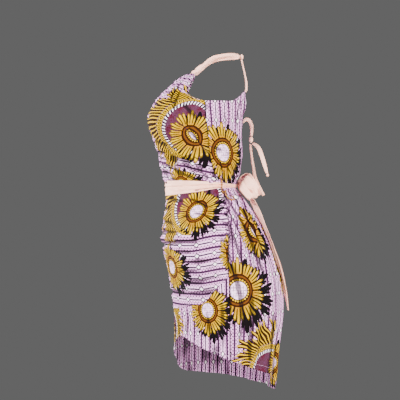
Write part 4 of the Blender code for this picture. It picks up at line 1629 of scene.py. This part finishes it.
BACK_STRAP = route(
    (0.0110, 0.0555, -0.0090, 0.009, 0, -35),
    (0.0170, 0.0600, -0.0310, 0.010, 5, -15),
    (0.0260, 0.0670, -0.0620, 0.011, -5, -12),
    (0.0340, 0.0705, -0.0900, 0.012, -12, -8),
    (0.0355, 0.0690, -0.1060, 0.013, -18, 0),
)
BOW_LOOP = route(
    (0.0140, 0.0520, -0.3740, 0.022, 90, 80),
    (0.0360, 0.0620, -0.3700, 0.044, 90, 55),
    (0.0540, 0.0710, -0.3860, 0.054, 90, 42),
    (0.0600, 0.0840, -0.4060, 0.050, 90, 34),
    (0.0560, 0.0930, -0.4215, 0.040, 90, 26),
    (0.0440, 0.0930, -0.4240, 0.036, 90, 26),
    (0.0360, 0.0850, -0.4120, 0.042, 90, 36),
    (0.0300, 0.0740, -0.3960, 0.038, 90, 46),
    (0.0160, 0.0620, -0.3860, 0.018, 90, 75),
)
SASH_TAIL_LEFT = route(
    (0.0070, 0.0620, -0.4020, 0.012, 10, 0),
    (0.0130, 0.0840, -0.4300, 0.026, 25, 0),
    (0.0170, 0.1040, -0.4700, 0.030, 35, 0),
    (0.0150, 0.1270, -0.5200, 0.018, 25, 0),
    (0.0130, 0.1520, -0.5800, 0.016, 15, 0),
    (0.0120, 0.1755, -0.6500, 0.018, 5, 0),
    (0.0110, 0.1870, -0.7050, 0.019, 5, 0),
    (0.0100, 0.1945, -0.7620, 0.012, 5, 0),
)
SASH_TAIL_RIGHT = route(
    (-0.0070, 0.0620, -0.4020, 0.012, -10, 0),
    (-0.0170, 0.0840, -0.4300, 0.026, -25, 0),
    (-0.0230, 0.1040, -0.4700, 0.028, -30, 0),
    (-0.0220, 0.1240, -0.5130, 0.022, -20, 0),
    (-0.0200, 0.1450, -0.5560, 0.016, -10, 0),
)
BACK_TIE_LOOP = route(
    (0.0040, 0.0600, -0.2000, 0.006, 90, 50),
    (0.0060, 0.0700, -0.1900, 0.009, 90, 70),
    (0.0075, 0.0800, -0.1960, 0.010, 60, 20),
    (0.0075, 0.0860, -0.2150, 0.009, 60, 0),
    (0.0050, 0.0850, -0.2400, 0.007, 60, 0),
)
BACK_TIE_TAIL_LEFT = route(
    (0.0050, 0.0880, -0.2625, 0.005, 80, 10),
    (0.0105, 0.0970, -0.2670, 0.010, 80, 40),
    (0.0160, 0.1080, -0.2800, 0.012, 80, 20),
    (0.0190, 0.1170, -0.3050, 0.012, 80, 10),
    (0.0200, 0.1260, -0.3350, 0.010, 80, 5),
    (0.0200, 0.1310, -0.3520, 0.006, 80, 5),
)
BACK_TIE_TAIL_RIGHT = route(
    (-0.0020, 0.0820, -0.2640, 0.005, 70, 0),
    (-0.0030, 0.0850, -0.2950, 0.007, 65, 0),
    (-0.0030, 0.0910, -0.3350, 0.008, 60, 0),
    (-0.0020, 0.0980, -0.3700, 0.010, 65, 0),
    (-0.0010, 0.1120, -0.4000, 0.009, 70, 0),
    (0.0000, 0.1220, -0.4180, 0.008, 75, 0),
)
BACK_TIE_LOOP_RIGHT = other_side(BACK_TIE_LOOP)
print("a bow loop has", len(BOW_LOOP), "rows")

# %% Straps, bow and ties
FREE_STRIPS = [
    FreeStrip("back_strap_left", BACK_STRAP, 0.014, TIE_PLEATS, 0.0004, "nape_knot"),
    FreeStrip("back_strap_right", other_side(BACK_STRAP), 0.014, TIE_PLEATS, 0.0004, "nape_knot"),
    FreeStrip("bow_loop_left", BOW_LOOP, 0.050, LOOP_PLEATS, 0.0012, "sash_knot"),
    FreeStrip("bow_loop_right", other_side(BOW_LOOP), 0.050, LOOP_PLEATS, 0.0012, "sash_knot"),
    FreeStrip("sash_tail_left", SASH_TAIL_LEFT, 0.026, TAIL_PLEATS, 0.0010, "sash_knot"),
    FreeStrip("sash_tail_right", SASH_TAIL_RIGHT, 0.026, TAIL_PLEATS, 0.0010, "sash_knot"),
    FreeStrip("back_tie_loop_left", BACK_TIE_LOOP, 0.011, TIE_PLEATS, 0.0003, "back_tie_knot"),
    FreeStrip("back_tie_loop_right", BACK_TIE_LOOP_RIGHT, 0.011, TIE_PLEATS, 0.0003, "back_tie_knot"),
    FreeStrip("back_tie_tail_left", BACK_TIE_TAIL_LEFT, 0.012, TIE_PLEATS, 0.0003, "back_tie_knot"),
    FreeStrip("back_tie_tail_right", BACK_TIE_TAIL_RIGHT, 0.011, TIE_PLEATS, 0.0003, "back_tie_knot"),
]
strips = [(spec, *free_strip(spec)) for spec in FREE_STRIPS]
for spec, piece, length in strips:
    print(spec.node, round(length, 3), "m long")

# %% [markdown]
# ## Knots
# A knot is a small round turn of cloth. It starts as an icosphere, and grooves pressed in along
# three circles make it look like strips wound over each other.

# %% Knots
Knot = namedtuple("Knot", "node x y z rx ry rz")
KNOTS = [
    Knot("nape_knot", 0.0, 0.0560, -0.003, 0.0085, 0.0050, 0.0075),
    Knot("sash_knot", 0.0, 0.0540, -0.382, 0.0120, 0.0125, 0.0150),
    Knot("back_tie_knot", 0.0, 0.0840, -0.251, 0.0070, 0.0060, 0.0090),
    Knot("tie_tail_knot", 0.0200, 0.1330, -0.3575, 0.0040, 0.0040, 0.0045),
]
WINDINGS = [(Vector((0.35, 0.15, 0.92)), 0.20), (Vector((-0.55, 0.60, 0.58)), 0.16),
            (Vector((0.80, -0.52, 0.30)), 0.14)]


def knot_piece(knot):
    """A ball of three sizes with a groove round each winding's axis."""
    build = bmesh.new()
    bmesh.ops.create_icosphere(build, subdivisions=4, radius=1.0)
    for vert in build.verts:
        way = vert.co.normalized()
        size = 1.0
        for axis, depth in WINDINGS:
            level = way.dot(axis.normalized())
            size -= depth * np.exp(-((level - 0.12) / 0.13) ** 2)
            size += 0.04 * sin(15.0 * level)
        vert.co = Vector((way.x * knot.rx * size + knot.x, way.y * knot.ry * size + knot.y,
                          way.z * knot.rz * size + knot.z))
    return make_object("pink_" + knot.node, build, PINK_KNOT)


knots = {knot.node: knot_piece(knot) for knot in KNOTS}
print(len(knots), "knots")

# %% [markdown]
# ## Belt carriers
# A thread chain at each side seam keeps the sash from slipping. Each is two strands twisted round
# each other along an arch over the sash, with a free end that curls at the bottom.

# %% Belt carriers
CARRIER_POINTS = 61
CARRIER_TOP_Z = -0.364
CARRIER_FOOT_Z = -0.414
STRAND_RADIUS = 0.0013
TAIL_TOP_Z = -0.412
TAIL_RADIUS = 0.0021


def cord_mesh(build, points, radius, sides):
    """A round thread through a list of points: a circle at each, joined to the next."""
    rings = []
    for k, point in enumerate(points):
        ahead = points[min(k + 1, len(points) - 1)] - points[max(k - 1, 0)]
        turn = Vector(ahead).to_track_quat("Z", "Y")
        made = bmesh.ops.create_circle(build, radius=radius, segments=sides)["verts"]
        for vert in made:
            vert.co = turn @ vert.co + Vector(point)
        rings.append(made)
    for low, high in zip(rings, rings[1:]):
        for k in range(sides):
            ends = (low[k], low[(k + 1) % sides], high[(k + 1) % sides], high[k])
            build.faces.new(ends)
    build.faces.new(list(reversed(rings[0])))
    build.faces.new(rings[-1])


def carrier(hand):
    """Two twisted strands over the sash at one side seam, and their loose end."""
    along = np.linspace(0, 1, CARRIER_POINTS)
    still = np.zeros(CARRIER_POINTS)
    z = mix(CARRIER_TOP_Z, CARRIER_FOOT_Z, along)
    angle = hand * (float(seam_angle(WAIST_Z)) - 4.0 + 2.0 * np.sin(along * 5.0) + 5.0 * along)
    arch = np.minimum(1.0, 3.0 * np.minimum(along, 1.0 - along) + 0.35) * np.sin(pi * along) ** 0.2
    lift = mix(CLOTH, CLOTH + SASH_STAND + 2.2 * RIBBON + 0.0018, arch)
    middle = form_point(angle, z) + form_normal(angle, z) * lift[:, None]
    build = bmesh.new()
    for strand in (0.0, pi):
        twist = along * 14.0 * pi + strand
        sway = np.stack([hand * 0.0008 * np.sin(twist), 0.0011 * np.cos(twist), still], axis=-1)
        cord_mesh(build, middle + sway, STRAND_RADIUS, 6)
    tail_z = TAIL_TOP_Z - 0.022 * along + 0.009 * np.sin(2.6 * pi * along)
    turn = float(seam_angle(TAIL_TOP_Z)) - 1.0 + 14.0 * along + 4.0 * np.sin(3.4 * pi * along)
    tail = form_point(hand * turn, tail_z)
    tail += form_normal(hand * turn, tail_z) * (CLOTH + 0.0040)
    cord_mesh(build, tail, TAIL_RADIUS, 6)
    name = "thread_carrier_" + ("left" if hand > 0 else "right")
    return make_object(name, build, GOLD_THREAD)


carriers = {"belt_carrier_left": carrier(1.0), "belt_carrier_right": carrier(-1.0)}
print("carriers", sorted(carriers))

# %% [markdown]
# ## Stitches
# Machine stitches show along the hems, the armhole edges and the curved join. Each stitch is a
# small stretched bead on the cloth, and each row of them is one mesh.

# %% Stitches
STITCH_LENGTH = 0.0026
STITCH_STEP = 0.0040
STITCH_RADIUS = 0.00042
ICOSPHERE_FACES = 20


def stitch_row(build, line, normals):
    """Beads along a line of points on the cloth."""
    steps = np.linalg.norm(np.diff(line, axis=0), axis=-1)
    reach = np.concatenate([[0.0], np.cumsum(steps)])
    for place in np.arange(STITCH_STEP, reach[-1] - STITCH_STEP, STITCH_STEP):
        start, end = (np.array([np.interp(place + move, reach, line[:, k]) for k in range(3)])
                      for move in (-STITCH_LENGTH / 2, STITCH_LENGTH / 2))
        normal = np.array([np.interp(place, reach, normals[:, k]) for k in range(3)])
        turn = Vector(end - start).to_track_quat("X", "Z")
        middle = Vector((start + end) / 2 + normal * (CLOTH + 0.0001))
        made = bmesh.ops.create_icosphere(build, subdivisions=1, radius=1.0)["verts"]
        for vert in made:
            bead = Vector((vert.co.x * STITCH_LENGTH / 2, vert.co.y * STITCH_RADIUS,
                           vert.co.z * STITCH_RADIUS))
            vert.co = turn @ bead + middle


def stitches(name, lines):
    """One mesh of stitches along several lines."""
    build = bmesh.new()
    for line, normals in lines:
        stitch_row(build, line, normals)
    piece = make_object(name, build, LILAC_THREAD, smooth=False)
    print(name, len(piece.data.polygons) // ICOSPHERE_FACES, "stitches")
    return piece


def row_of(panel, row):
    """The points of one row of a panel, and the way out of the cloth at each."""
    return panel.points[row], panel.normals[row]


def column_of(panel, column, rows):
    """The same for part of one column."""
    return panel.points[rows, column], panel.normals[rows, column]


ARMHOLE_ROWS = slice(3, 50)
SLIT_ROWS = slice(2, 36)
sewn = [
    ("stitches_front_hem", "skirt_front_lower", [row_of(skirt_lower, -4)]),
    ("stitches_back_hem", "skirt_back", [row_of(skirt_back, -5)]),
    ("stitches_join", "skirt_front", [row_of(skirt_front, -3)]),
    ("stitches_bib", "bodice_front",
     [column_of(bodice_front, 3, ARMHOLE_ROWS), column_of(bodice_front, -4, ARMHOLE_ROWS),
      row_of(bodice_front, 3)]),
    ("stitches_back_left", "bodice_back_left",
     [row_of(bodice_back_left, 2), column_of(bodice_back_left, -3, SLIT_ROWS)]),
    ("stitches_back_right", "bodice_back_right",
     [row_of(bodice_back_right, 2), column_of(bodice_back_right, -3, SLIT_ROWS)]),
]
stitch_pieces = {node: stitches(name, lines) for name, node, lines in sewn}

# %% [markdown]
# ## Declarations
# Every piece rides on the one body and stands for the imported solid that it covers, which is hidden.

# %% Declarations


def declare_panel(panel, node):
    """Declare a panel and its stitches."""
    declare(panel.piece, node)
    declare(stitch_pieces[node], node)


declare_panel(bodice_front, "bodice_front")
declare_panel(bodice_back_left, "bodice_back_left")
declare_panel(bodice_back_right, "bodice_back_right")
declare_panel(skirt_front, "skirt_front")
declare_panel(skirt_lower, "skirt_front_lower")
declare_panel(skirt_back, "skirt_back")

declare(neck_piece, "neck_band")
declare(sash_piece, "sash")
for spec, piece, length in strips:
    declare(piece, spec.node)
for node, piece in knots.items():
    declare(piece, node)
for node, piece in carriers.items():
    declare(piece, node)
print("declared", len(strips) + len(knots) + len(carriers), "small pieces and 8 large ones")
